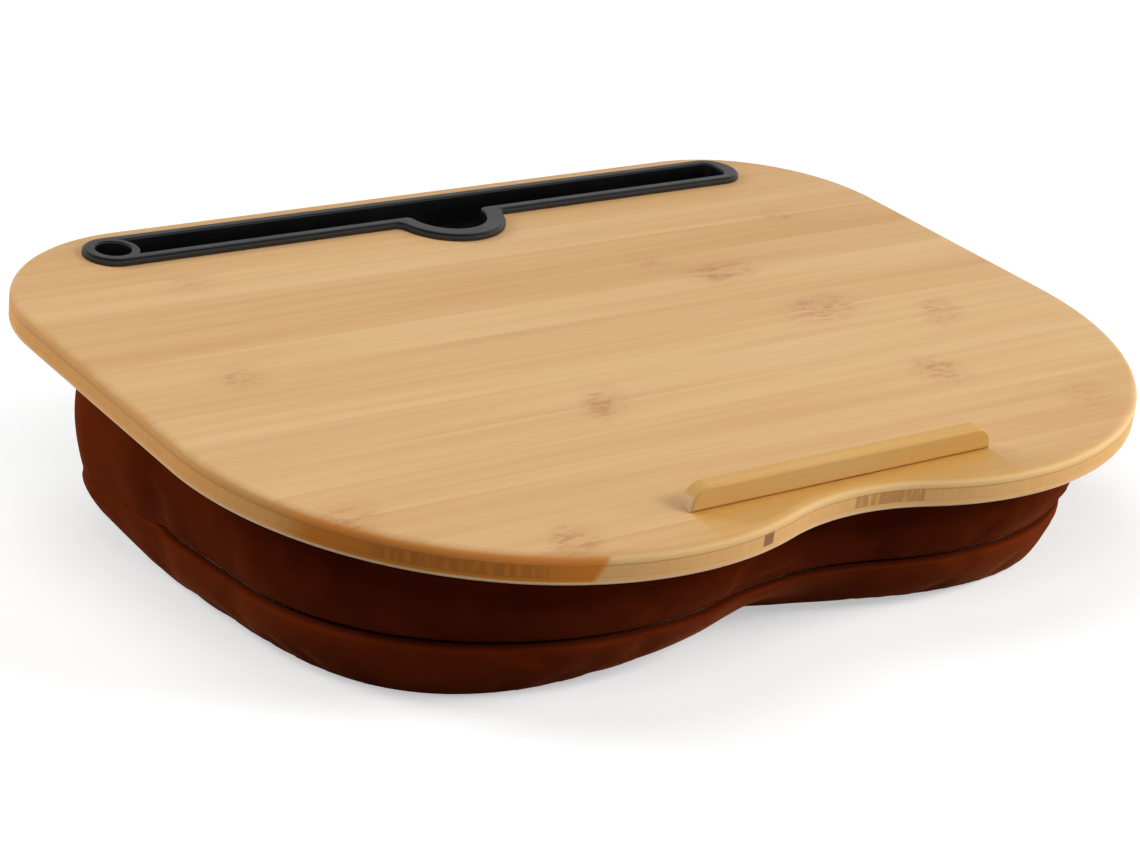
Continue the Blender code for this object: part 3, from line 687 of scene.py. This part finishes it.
class Nodes:
    """Short calls that add nodes to a node tree and link them."""

    def __init__(self, tree):
        self.tree = tree

    def node(self, kind, inputs=None, **settings):
        """A new node; an input is a socket to link from, or a plain value."""
        made = self.tree.nodes.new(kind)
        for name, value in settings.items():
            setattr(made, name, value)
        for key, value in (inputs or {}).items():
            self.feed(value, made.inputs[key])
        return made

    def feed(self, value, socket):
        if isinstance(value, bpy.types.NodeSocket):
            self.tree.links.new(value, socket)
        else:
            socket.default_value = value

    def calculate(self, operation, *values):
        made = self.node("ShaderNodeMath", dict(enumerate(values)), operation=operation)
        return made.outputs[0]

    def times(self, first, second):
        return self.calculate("MULTIPLY", first, second)

    def larger(self, first, second):
        return self.calculate("MAXIMUM", first, second)

    def scaled(self, value, factor, added):
        """The value times the factor, plus what is added."""
        return self.calculate("MULTIPLY_ADD", value, factor, added)

    def distance(self, value, centre):
        return self.calculate("ABSOLUTE", self.calculate("SUBTRACT", value, centre))

    def ramp(self, value, low, high, start=0.0, end=1.0):
        """The start at low and the end at high, smooth in between."""
        made = self.node("ShaderNodeMapRange", {
            "Value": value, "From Min": low, "From Max": high, "To Min": start, "To Max": end},
            interpolation_type="SMOOTHSTEP")
        return made.outputs["Result"]

    def zone(self, along, mark):
        """1 within half of the mark's place, and 0 beyond its soft end."""
        return self.ramp(self.distance(along, mark.place), mark.half + mark.soft, mark.half)

    def split(self, vector):
        """The X, Y and Z of a vector."""
        return self.node("ShaderNodeSeparateXYZ", {0: vector}).outputs


class Surface(Nodes):
    """One procedural material, with values that are the same all over its shader."""

    def __init__(self, name, values):
        self.material = bpy.data.materials.new(name)
        self.material.use_nodes = True
        super().__init__(self.material.node_tree)
        self.shader = self.tree.nodes["Principled BSDF"]
        for socket, value in values.items():
            self.shader.inputs[socket].default_value = value
        self.place = self.node("ShaderNodeTexCoord").outputs["Object"]

    def noise(self, stretch, detail=2.0, roughness=0.5, place=None):
        """Noise with so many features to the metre along X, Y and Z."""
        spread = self.node("ShaderNodeMapping", {"Vector": place or self.place, "Scale": stretch})
        made = self.node("ShaderNodeTexNoise", {
            "Vector": spread.outputs[0], "Scale": 1.0, "Detail": detail, "Roughness": roughness})
        return made.outputs["Fac"]

    def even_noise(self, scale, detail=2.0, roughness=0.5):
        """Noise with so many features to the metre in every direction."""
        return self.noise((scale, scale, scale), detail, roughness)

    def mix(self, share, first, second):
        """A colour between two others, which are sockets or plain colours."""
        made = self.node("ShaderNodeMix", {0: share}, data_type="RGBA")
        for colour, socket in ((first, made.inputs[6]), (second, made.inputs[7])):
            self.feed((*colour, 1.0) if isinstance(colour, tuple) else colour, socket)
        return made.outputs[2]

    def colour(self, value):
        self.feed(value, self.shader.inputs["Base Color"])

    def rough(self, value, low, high):
        made = self.node("ShaderNodeMapRange", {"Value": value, "To Min": low, "To Max": high})
        self.feed(made.outputs["Result"], self.shader.inputs["Roughness"])

    def bump(self, height, distance, strength=1.0):
        made = self.node("ShaderNodeBump", {"Height": height, "Distance": distance,
                                            "Strength": strength})
        self.feed(made.outputs["Normal"], self.shader.inputs["Normal"])


# Each piece of bamboo's light, dark and line colours
Tones = namedtuple("Tones", ("light", "dark", "line"))
FACE_TONES = Tones((0.730, 0.468, 0.226), (0.615, 0.348, 0.138), (0.480, 0.215, 0.090))
BACK_TONES = Tones((0.880, 0.620, 0.360), (0.820, 0.550, 0.300), (0.500, 0.270, 0.120))
LEDGE_TONES = Tones((0.730, 0.445, 0.168), (0.610, 0.340, 0.100), (0.400, 0.180, 0.045))
# The ledge's own deeper tone, and also the colour of its painted glow on the board
AMBER = (0.600, 0.320, 0.070)
EDGE_GOLDEN = (0.860, 0.430, 0.140)
EDGE_BROWN = (0.690, 0.230, 0.030)
EDGE_PALE = (0.860, 0.490, 0.190)
EDGE_GRAIN = (0.360, 0.130, 0.030)
ROUND_GOLDEN = (0.620, 0.300, 0.085)
ROUND_PALE = (0.830, 0.535, 0.240)
KNOT_TONE = (0.170, 0.085, 0.045)
LEDGE_END_TONE = (0.620, 0.470, 0.310)

# Bamboo's grain in features to the metre along X, Y and Z
STREAKS = (4.0, 130.0, 130.0)
BROAD_STREAKS = (5.0, 40.0, 40.0)
FIBRES = (14.0, 1100.0, 1100.0)
END_GRAIN = (420.0, 420.0, 60.0)
KNUCKLE_FLECKS = (120.0, 380.0, 300.0)

# How much the strips differ in tone, and how much each kind of grain darkens them
STRIP_VARIETY = 0.50
BROAD_SHARE = 0.25
STREAK_SHARE = 0.42
FIBRE_SHARE = 0.12
JOINT_SHARE = 0.40

# Where in its noise each sets in and is full, and how far from a strip's middle the joints do
STRIP_RANGE = (0.1, 0.9)
BROAD_RANGE = (0.3, 0.7)
STREAK_RANGE = (0.36, 0.70)
FIBRE_RANGE = (0.45, 0.75)
JOINT_START = 0.480

# Start of the strips in strip widths, shift of each one's grain, and their surface
STRIP_START = 0.35
STRIP_SHIFT = 0.37
FIBRE_HEIGHT = 0.00003
SMOOTHER = 0.05
ROUGHER = 0.08

# Marks on the bamboo: where the middle is, the half length, and the soft end beyond it
Mark = namedtuple("Mark", ("place", "half", "soft"))
BROWN_EDGE = Mark(-0.162, 0.039, 0.010)
BROWN_GRAIN = Mark(-0.164, 0.020, 0.008)
BROWN_PATCH = Mark(0.016, 0.0150, 0.001)
KNOT = Mark(-0.0503, 0.0024, 0.0006)
CORE_TOP = Mark(BACK_PLY + CORE_PLY, 0.0002, 0.0006)
# The ledge's amber glow, painted on the board in front of it
LEDGE_GLOW = Mark(0.0, LEDGE_LENGTH / 2 - 0.001, 0.002)

# From the board's middle, where the edge's marks set in, to here, where they are full
FRONT_FULL = -0.050

# Where the edge turns pale, and where the face ply's round edge takes the edge's tone
PALE_EDGE_X = (-0.128, -0.124)
PALE_EDGE_SLANT = -0.5
EDGE_Z = (0.0122, 0.0107)
EDGE_WAVE = 0.0012
EDGE_SHARE = 0.90

# Core ply: how strongly its end grain shows, and how much more in the marked places
GRAIN_RANGE = (0.25, 0.60)
GRAIN_PLAIN = 0.08
GRAIN_MARKED = 0.50
KNOT_SHARE = 0.8
CORE_TOP_SHARE = 0.5

# Back ply: where the light skin at its underside ends
LIGHT_SKIN_Z = (0.0013, 0.0019)
SKIN_WAVE = 0.0004

# The painted amber glow that the ledge throws on the board: where it sets in under the ledge, and
# its strength from the board's front to there
LEDGE_GLOW_BACK = (LEDGE_LINE + 0.001, LEDGE_LINE - 0.003)
LEDGE_GLOW_FRONT = (BOARD_FRONT + 0.002, LEDGE_LINE)
LEDGE_GLOW_STRENGTH = (0.40, 0.95)

# Ledge: its deeper amber from left to right, and the paler tone of its left end
DEEP_AMBER_X = (-0.03, 0.05)
DEEP_AMBER_SHARE = (0.20, 0.45)
DEEP_AMBER_WAVE = 0.8
DEEP_AMBER_LEAST = 0.6
LEDGE_END_SOFT = (0.0016, 0.0004)
LEDGE_END_SHARE = 0.8

# Where the bamboo's knuckles show on the board: X, Y, half length, half width, turn, strength
KNUCKLES = (
    (-0.169, 0.015, 0.012, 0.010, 0.3, 0.6),
    (-0.047, -0.055, 0.016, 0.008, 0.8, 0.9),
    (0.061, 0.059, 0.009, 0.009, 0.5, 0.6),
    (0.085, 0.039, 0.017, 0.009, 0.1, 1.0),
    (0.102, -0.009, 0.021, 0.012, 0.2, 0.9),
    (0.152, -0.031, 0.014, 0.009, 0.7, 0.9),
    (0.108, -0.079, 0.013, 0.012, 0.4, 0.8),
    (0.153, -0.122, 0.013, 0.010, 0.4, 0.6),
    (-0.126, -0.145, 0.013, 0.009, 0.6, 0.9),
    (-0.194, -0.102, 0.014, 0.009, 0.4, 0.9),
    (0.158, 0.086, 0.012, 0.009, 0.2, 0.5),
    (-0.143, 0.102, 0.012, 0.009, 0.2, 0.5),
)

# A knuckle's half height and soft edge, and how dark it is outside its flecks and in them
KNUCKLE_RISE = 0.02
KNUCKLE_REACH = (1.6, 0.2)
FLECK_RANGE = (0.44, 0.66)
FLECK_DARKNESS = (0.22, 0.92)

# The cover's tones: the side band is painted darker as shade under the board's overhang, and the
# bottom panel painted lighter as light thrown up from the floor
SHADED_BAND_TONE = (0.090, 0.0105, 0.0019)
LIT_DOME_TONE = (0.175, 0.0250, 0.0045)
NAP_LIGHT = (0.240, 0.0400, 0.0090)
NAP_DARK = (0.085, 0.0100, 0.0016)
SEAM_SHADE_TONE = (0.012, 0.0020, 0.0006)
NAP_SHEEN = (0.80, 0.30, 0.12, 1.0)
CLOUD_RANGE = (0.3, 0.7)
CLOUD_SHARE = 0.35
NAP_SHARE = 0.4
NAP_HEIGHT = 0.00012

# Where the band's painted shade turns to the dome's painted light: at the seam, and at the band's
# back left corner, which is painted lit
SHADED_BAND_START = 0.002
LIT_CORNER_X = (-0.150, -0.200)
LIT_CORNER_Y = (0.020, 0.070)

# Painted shade in the groove of the seam, and where it sets in
GROOVE_SHADE = Mark(0.0, 0.0005, 0.0026)
GROOVE_SHADE_SHARE = 0.65
SEWN_FROM_X = (-SEAM_FADE / 2, SEAM_FADE / 2)
SEWN_FROM_Y = (PINCH_PLACE[1] + 0.004, PINCH_PLACE[1] - 0.006)

# The two tones that each of the other materials varies between
PLASTIC_TONES = ((0.0012, 0.0012, 0.0012), (0.0022, 0.0022, 0.0021))
# A real thread, made near black as painted shade at the bottom of the seam's channel
THREAD_SHADE_TONES = ((0.006, 0.0012, 0.0006), (0.014, 0.0030, 0.0012))
HARDBOARD_TONES = ((0.200, 0.120, 0.062), (0.340, 0.220, 0.120))
BAG_TONES = ((0.560, 0.540, 0.500), (0.680, 0.660, 0.620))
ZINC_TONES = ((0.480, 0.480, 0.470), (0.620, 0.620, 0.600))


class Bamboo(Surface):
    """Lacquered strips of bamboo that run along X, with their grain."""

    def __init__(self, name, strip, roughness, gloss):
        super().__init__(name, {"Specular IOR Level": gloss})
        self.axes = self.split(self.place)
        self.across = self.scaled(self.axes["Y"], 1 / strip, STRIP_START)
        self.index = self.calculate("FLOOR", self.across)
        along = self.node("ShaderNodeCombineXYZ", {
            "X": self.scaled(self.index, STRIP_SHIFT, self.axes["X"]),
            "Y": self.axes["Y"], "Z": self.axes["Z"]}).outputs[0]
        self.streak = self.noise(STREAKS, roughness=0.6, place=along)
        self.broad = self.noise(BROAD_STREAKS, detail=1.0, place=along)
        self.fibre = self.noise(FIBRES, roughness=0.6, place=along)
        self.rough(self.streak, roughness - SMOOTHER, roughness + ROUGHER)
        self.bump(self.fibre, FIBRE_HEIGHT)

    def strips(self, tones):
        """The colour of the strips, each with its own tone, and of the joints between them."""
        tone = self.node("ShaderNodeTexWhiteNoise", {"W": self.index}, noise_dimensions="1D")
        share = self.ramp(tone.outputs["Value"], *STRIP_RANGE, end=STRIP_VARIETY)
        share = self.scaled(self.ramp(self.broad, *BROAD_RANGE), BROAD_SHARE, share)
        share = self.scaled(self.ramp(self.streak, *STREAK_RANGE), STREAK_SHARE, share)
        colour = self.mix(share, tones.light, tones.dark)
        fine = self.ramp(self.fibre, *FIBRE_RANGE, end=FIBRE_SHARE)
        colour = self.mix(fine, colour, tones.line)
        from_middle = self.distance(self.calculate("FRACT", self.across), 0.5)
        joint = self.times(self.ramp(from_middle, JOINT_START, 0.5, end=JOINT_SHARE), self.streak)
        return self.mix(joint, colour, tones.line)

    def front(self):
        """1 along the board's front, and 0 behind its middle."""
        return self.ramp(self.axes["Y"], 0.0, FRONT_FULL)

    def edge(self, golden, pale):
        """The edge is golden at the left, brown along the left lobe's front, and then pale."""
        slanted = self.scaled(self.axes["Z"], PALE_EDGE_SLANT, self.axes["X"])
        right = self.ramp(slanted, *PALE_EDGE_X)
        colour = self.mix(right, golden, pale)
        brown = self.times(self.calculate("SUBTRACT", 1.0, right),
                           self.zone(self.axes["X"], BROWN_EDGE))
        return self.mix(self.times(brown, self.front()), colour, EDGE_BROWN)

    def knuckles(self):
        """How strongly a knuckle darkens each place: a soft patch broken into flecks."""
        total = 0.0
        for x, y, length, width, turn, strength in KNUCKLES:
            near = self.node("ShaderNodeMapping", {
                "Vector": self.place, "Location": (x, y, BOARD_THICKNESS),
                "Rotation": (0.0, 0.0, turn), "Scale": (length, width, KNUCKLE_RISE)},
                vector_type="TEXTURE")
            away = self.node("ShaderNodeVectorMath", {0: near.outputs[0]}, operation="LENGTH")
            patch = self.ramp(away.outputs["Value"], *KNUCKLE_REACH, end=strength)
            total = self.larger(total, patch)
        fleck = self.noise(KNUCKLE_FLECKS, detail=3.0, roughness=0.65)
        return self.times(total, self.ramp(fleck, *FLECK_RANGE, *FLECK_DARKNESS))


def face_bamboo():
    """Strips with knuckles, a painted amber glow that the ledge throws on the board in front of
    it, and the toned edge.
    """
    surface = Bamboo("bamboo_face", strip=0.0235, roughness=0.48, gloss=0.30)
    y = surface.axes["Y"]
    colour = surface.mix(surface.knuckles(), surface.strips(FACE_TONES), FACE_TONES.line)
    # Painted glow: the ledge's amber light on the board in front of it, strongest under the ledge
    ledge_glow = surface.times(surface.zone(surface.axes["X"], LEDGE_GLOW), surface.ramp(y, *LEDGE_GLOW_BACK))
    fade = surface.ramp(y, *LEDGE_GLOW_FRONT, *LEDGE_GLOW_STRENGTH)
    colour = surface.mix(surface.times(ledge_glow, fade), colour, AMBER)
    height = surface.scaled(surface.broad, EDGE_WAVE, surface.axes["Z"])
    low = surface.ramp(height, *EDGE_Z, end=EDGE_SHARE)
    surface.colour(surface.mix(low, colour, surface.edge(ROUND_GOLDEN, ROUND_PALE)))
    return surface.material


def core_bamboo():
    """End grain in fine upright lines, a knot and a brown patch near the belly."""
    surface = Bamboo("bamboo_core", strip=0.006, roughness=0.60, gloss=0.12)
    x = surface.axes["X"]
    marked = surface.larger(surface.zone(x, BROWN_GRAIN), surface.zone(x, BROWN_PATCH))
    share = surface.scaled(surface.times(marked, surface.front()), GRAIN_MARKED, GRAIN_PLAIN)
    grain = surface.ramp(surface.noise(END_GRAIN, roughness=0.6), *GRAIN_RANGE)
    colour = surface.mix(surface.times(share, grain), surface.edge(EDGE_GOLDEN, EDGE_PALE),
                         EDGE_GRAIN)
    knot = surface.times(surface.zone(x, KNOT), surface.front())
    colour = surface.mix(surface.times(knot, KNOT_SHARE), colour, KNOT_TONE)
    top = surface.zone(surface.axes["Z"], CORE_TOP)
    surface.colour(surface.mix(surface.times(top, CORE_TOP_SHARE), colour, EDGE_BROWN))
    return surface.material


def back_bamboo():
    """Only the lowest part of the back ply's edge is light; the rest is as the core's."""
    surface = Bamboo("bamboo_back", strip=0.0225, roughness=0.50, gloss=0.12)
    height = surface.scaled(surface.broad, SKIN_WAVE, surface.axes["Z"])
    above = surface.ramp(height, *LIGHT_SKIN_Z)
    surface.colour(surface.mix(above, surface.strips(BACK_TONES),
                               surface.edge(EDGE_GOLDEN, EDGE_PALE)))
    return surface.material


def ledge_bamboo():
    """A deeper amber towards the ledge's right half, and paler end grain at its left end."""
    surface = Bamboo("bamboo_ledge", strip=0.030, roughness=0.50, gloss=0.30)
    x = surface.axes["X"]
    share = surface.times(surface.ramp(x, *DEEP_AMBER_X, *DEEP_AMBER_SHARE),
                          surface.scaled(surface.broad, DEEP_AMBER_WAVE, DEEP_AMBER_LEAST))
    colour = surface.mix(share, surface.strips(LEDGE_TONES), AMBER)
    start, full = [soft - LEDGE_LENGTH / 2 for soft in LEDGE_END_SOFT]
    end = surface.ramp(x, start, full, end=LEDGE_END_SHARE)
    surface.colour(surface.mix(end, colour, LEDGE_END_TONE))
    return surface.material


def plastic():
    """Satin moulded black, a little uneven in its gloss."""
    surface = Surface("moulded_plastic", {"Specular IOR Level": 0.55})
    patch = surface.even_noise(60.0)
    surface.colour(surface.mix(patch, *PLASTIC_TONES))
    surface.rough(patch, 0.36, 0.50)
    surface.bump(surface.even_noise(1400.0, detail=1.0), distance=0.00002)
    return surface.material


def suede():
    """Brushed microfibre, whose nap leaves lighter and darker clouds, with painted shade on the
    side band and in the seam's groove, and painted light on the bottom panel.
    """
    surface = Surface("brushed_microfibre", {
        "Roughness": 0.90, "Specular IOR Level": 0.02, "Sheen Weight": 0.15,
        "Sheen Roughness": 0.30, "Sheen Tint": NAP_SHEEN})
    local = surface.node("ShaderNodeMapping", {
        "Vector": surface.place, "Location": (0.0, BOARD_FORWARD, BOARD_RISE),
        "Rotation": (BOARD_TILT, 0.0, 0.0)}, vector_type="TEXTURE")
    axes = surface.split(local.outputs[0])
    above = surface.calculate("ADD", axes["Z"],
                              surface.scaled(axes["Y"], math.tan(SEAM_TILT), SEAM_DROP))
    # Painted light: the band's back left corner takes the dome's lighter tone
    corner = surface.times(surface.ramp(axes["X"], *LIT_CORNER_X),
                           surface.ramp(axes["Y"], *LIT_CORNER_Y))
    band = surface.mix(corner, SHADED_BAND_TONE, LIT_DOME_TONE)
    # Painted shade above the seam and painted light below it
    colour = surface.mix(surface.ramp(above, -SHADED_BAND_START, SHADED_BAND_START), LIT_DOME_TONE, band)
    cloud = surface.even_noise(26.0, detail=3.0, roughness=0.55)
    colour = surface.mix(surface.ramp(cloud, *CLOUD_RANGE, end=CLOUD_SHARE), colour, NAP_LIGHT)
    nap = surface.even_noise(900.0, detail=3.0, roughness=0.7)
    colour = surface.mix(surface.times(nap, NAP_SHARE), colour, NAP_DARK)
    # Painted shade along the seam's groove, faint where the seam is faint at the back left
    sewn = surface.larger(surface.ramp(axes["X"], *SEWN_FROM_X),
                          surface.ramp(axes["Y"], *SEWN_FROM_Y))
    groove_shade = surface.times(surface.zone(above, GROOVE_SHADE), sewn)
    surface.colour(surface.mix(surface.times(groove_shade, GROOVE_SHADE_SHARE), colour, SEAM_SHADE_TONE))
    surface.bump(nap, NAP_HEIGHT, strength=0.8)
    return surface.material


def sewing_thread():
    """Twisted thread without gloss, made near black as painted shade at the bottom of the seam's
    channel.
    """
    surface = Surface("seam_thread", {"Roughness": 0.90, "Specular IOR Level": 0.0})
    twist = surface.even_noise(1200.0)
    surface.colour(surface.mix(twist, *THREAD_SHADE_TONES))
    return surface.material


def hardboard():
    """Pressed brown fibres."""
    surface = Surface("pressed_fibreboard", {"Roughness": 0.85})
    fleck = surface.even_noise(500.0, detail=4.0, roughness=0.7)
    surface.colour(surface.mix(fleck, *HARDBOARD_TONES))
    surface.bump(fleck, distance=0.00006)
    return surface.material


def bag_cloth():
    """Thin woven cloth of the inner bag, over the round beads."""
    surface = Surface("bag_cloth", {"Roughness": 0.90})
    weave = surface.even_noise(1500.0, detail=1.0)
    beads = surface.node("ShaderNodeTexVoronoi", {"Vector": surface.place, "Scale": 280.0})
    surface.colour(surface.mix(weave, *BAG_TONES))
    surface.bump(beads.outputs["Distance"], distance=0.0006, strength=0.6)
    return surface.material


def zinc():
    """Zinc-plated steel, a little mottled."""
    surface = Surface("zinc_plated_steel", {"Metallic": 1.0})
    patch = surface.even_noise(900.0, detail=3.0)
    surface.colour(surface.mix(patch, *ZINC_TONES))
    surface.rough(patch, 0.28, 0.46)
    return surface.material


def make_surfaces():
    return {
        "bamboo_face": face_bamboo(),
        "bamboo_core": core_bamboo(),
        "bamboo_back": back_bamboo(),
        "bamboo_ledge": ledge_bamboo(),
        "black_plastic": plastic(),
        "fibreboard": hardboard(),
        "cover_fabric": suede(),
        "seam_thread": sewing_thread(),
        "bead_fabric": bag_cloth(),
        "zinc_steel": zinc(),
    }


def finish_kept_nodes(surfaces):
    """Panel, screws and staples keep their CAD shape and get their material."""
    for name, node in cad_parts.items():
        if name == "base_panel":
            kept = surfaces["fibreboard"]
        elif "screw" in name or name.startswith("staple"):
            kept = surfaces["zinc_steel"]
        else:
            continue
        node.data.materials.clear()
        node.data.materials.append(kept)


# Stage

CAMERA_PLACE = (-0.68882, -0.89128, 0.42221)
CAMERA_RIGHT = (0.80764, -0.58841, 0.03874)
CAMERA_UP = (0.15508, 0.27533, 0.94877)
CAMERA_LENS = 90.19
CAMERA_SENSOR = 36.0

# Lamps: place, height of the point that each aims at, diameter, and power in watts
LAMPS = {
    "key_light": ((1.05, -1.35, 1.10), 0.10, 0.8, 21.0),
    "top_light": ((-0.40, 0.10, 1.75), 0.10, 1.1, 7.0),
    "front_light": ((-0.75, -1.05, 1.30), 0.10, 0.8, 7.0),
    "left_light": ((-1.10, 1.00, 0.90), 0.05, 0.7, 15.0),
    "right_light": ((1.30, -0.60, 0.30), 0.05, 0.7, 9.0),
}

# Floor: half its width, its height, and its grey where it is seen and as a source of light
FLOOR_HALF = 6.0
FLOOR_HEIGHT = -0.0005
FLOOR_SEEN = 0.72
FLOOR_LIGHT = 0.26

# The floor's glow where it is seen, near the middle and far from it
GLOW_DISTANCES = (0.35, 1.6)
GLOW_STRENGTHS = (0.45, 1.0)

# World: its strength as light, and where it is reflected, from low down to overhead
WORLD_LIGHT = 0.03
OVERHEAD_HEIGHTS = (0.50, 0.80)
OVERHEAD_STRENGTHS = (1.0, 0.15)


def make_camera():
    """The camera that was fitted to the photo."""
    data = bpy.data.cameras.new("camera")
    data.lens = CAMERA_LENS
    data.sensor_width = CAMERA_SENSOR
    data.sensor_fit = "HORIZONTAL"
    camera = add("camera", data)
    right, up = Vector(CAMERA_RIGHT), Vector(CAMERA_UP)
    turn = Matrix((right, up, right.cross(up))).transposed().to_4x4()
    camera.matrix_world = Matrix.Translation(CAMERA_PLACE) @ turn
    bpy.context.scene.camera = camera


def make_lamp(name, place, aim_height, size, power):
    """A round soft lamp that aims at the object and isn't seen in reflections."""
    data = bpy.data.lights.new(name, "AREA")
    data.shape = "DISK"
    data.size = size
    data.energy = power
    lamp = add(name, data)
    lamp.location = place
    lamp.visible_glossy = False
    aim = Vector((0.0, 0.0, aim_height)) - Vector(place)
    lamp.rotation_euler = aim.to_track_quat("-Z", "Y").to_euler()


def show_white(nodes, dim, bright, output):
    """Gives the output the bright shader as seen or reflected, and the dim one as light."""
    path = nodes.node("ShaderNodeLightPath").outputs
    seen = nodes.larger(path["Is Camera Ray"], path["Is Glossy Ray"])
    seen = nodes.larger(seen, path["Is Transmission Ray"])
    mix = nodes.node("ShaderNodeMixShader", {0: seen, 1: dim.outputs[0], 2: bright.outputs[0]})
    nodes.node(output, {"Surface": mix.outputs[0]})


def grey(value):
    """An opaque grey."""
    return (value, value, value, 1.0)


def floor_material():
    """Pale paper, lifted to white where the camera sees it, that keeps the shadow."""
    material = bpy.data.materials.new("floor")
    material.use_nodes = True
    nodes = Nodes(material.node_tree)
    nodes.tree.nodes.clear()
    place = nodes.node("ShaderNodeTexCoord").outputs["Object"]
    away = nodes.node("ShaderNodeVectorMath", {0: place}, operation="LENGTH").outputs["Value"]
    lift = nodes.ramp(away, *GLOW_DISTANCES, *GLOW_STRENGTHS)
    paper = nodes.node("ShaderNodeBsdfDiffuse", {"Color": grey(FLOOR_SEEN)})
    glow = nodes.node("ShaderNodeEmission", {"Color": grey(1.0), "Strength": lift})
    lit = nodes.node("ShaderNodeAddShader", {0: paper.outputs[0], 1: glow.outputs[0]})
    shade = nodes.node("ShaderNodeBsdfDiffuse", {"Color": grey(FLOOR_LIGHT)})
    show_white(nodes, shade, lit, "ShaderNodeOutputMaterial")
    return material


def make_floor():
    """The square that the object stands on, which isn't part of it."""
    mesh = bpy.data.meshes.new("floor")
    corners = [(-1, -1), (1, -1), (1, 1), (-1, 1)]
    mesh.from_pydata([(x * FLOOR_HALF, y * FLOOR_HALF, FLOOR_HEIGHT) for x, y in corners],
                     [], [(0, 1, 2, 3)])
    mesh.materials.append(floor_material())
    floor = add("floor", mesh)


def make_world():
    """White behind the object; reflections see it white low down and dim overhead."""
    world = bpy.data.worlds.new("studio")
    world.use_nodes = True
    bpy.context.scene.world = world
    nodes = Nodes(world.node_tree)
    nodes.tree.nodes.clear()
    direction = nodes.node("ShaderNodeTexCoord").outputs["Generated"]
    fade = nodes.ramp(nodes.split(direction)["Z"], *OVERHEAD_HEIGHTS, *OVERHEAD_STRENGTHS)
    path = nodes.node("ShaderNodeLightPath").outputs
    white = nodes.larger(path["Is Camera Ray"], fade)
    dim = nodes.node("ShaderNodeBackground", {"Color": grey(1.0), "Strength": WORLD_LIGHT})
    bright = nodes.node("ShaderNodeBackground", {"Color": grey(1.0), "Strength": white})
    show_white(nodes, dim, bright, "ShaderNodeOutputWorld")


def make_stage():
    bpy.context.scene.view_settings.view_transform = "Standard"
    make_camera()
    make_world()
    make_floor()
    for name, (place, aim_height, size, power) in LAMPS.items():
        make_lamp(name, place, aim_height, size, power)


def main():
    surfaces = make_surfaces()
    finish_kept_nodes(surfaces)
    ledge_holes = make_board(surfaces)
    make_tray(surfaces["black_plastic"])
    make_ledge(surfaces["bamboo_ledge"], ledge_holes)
    make_cushion(surfaces)
    make_stage()


main()
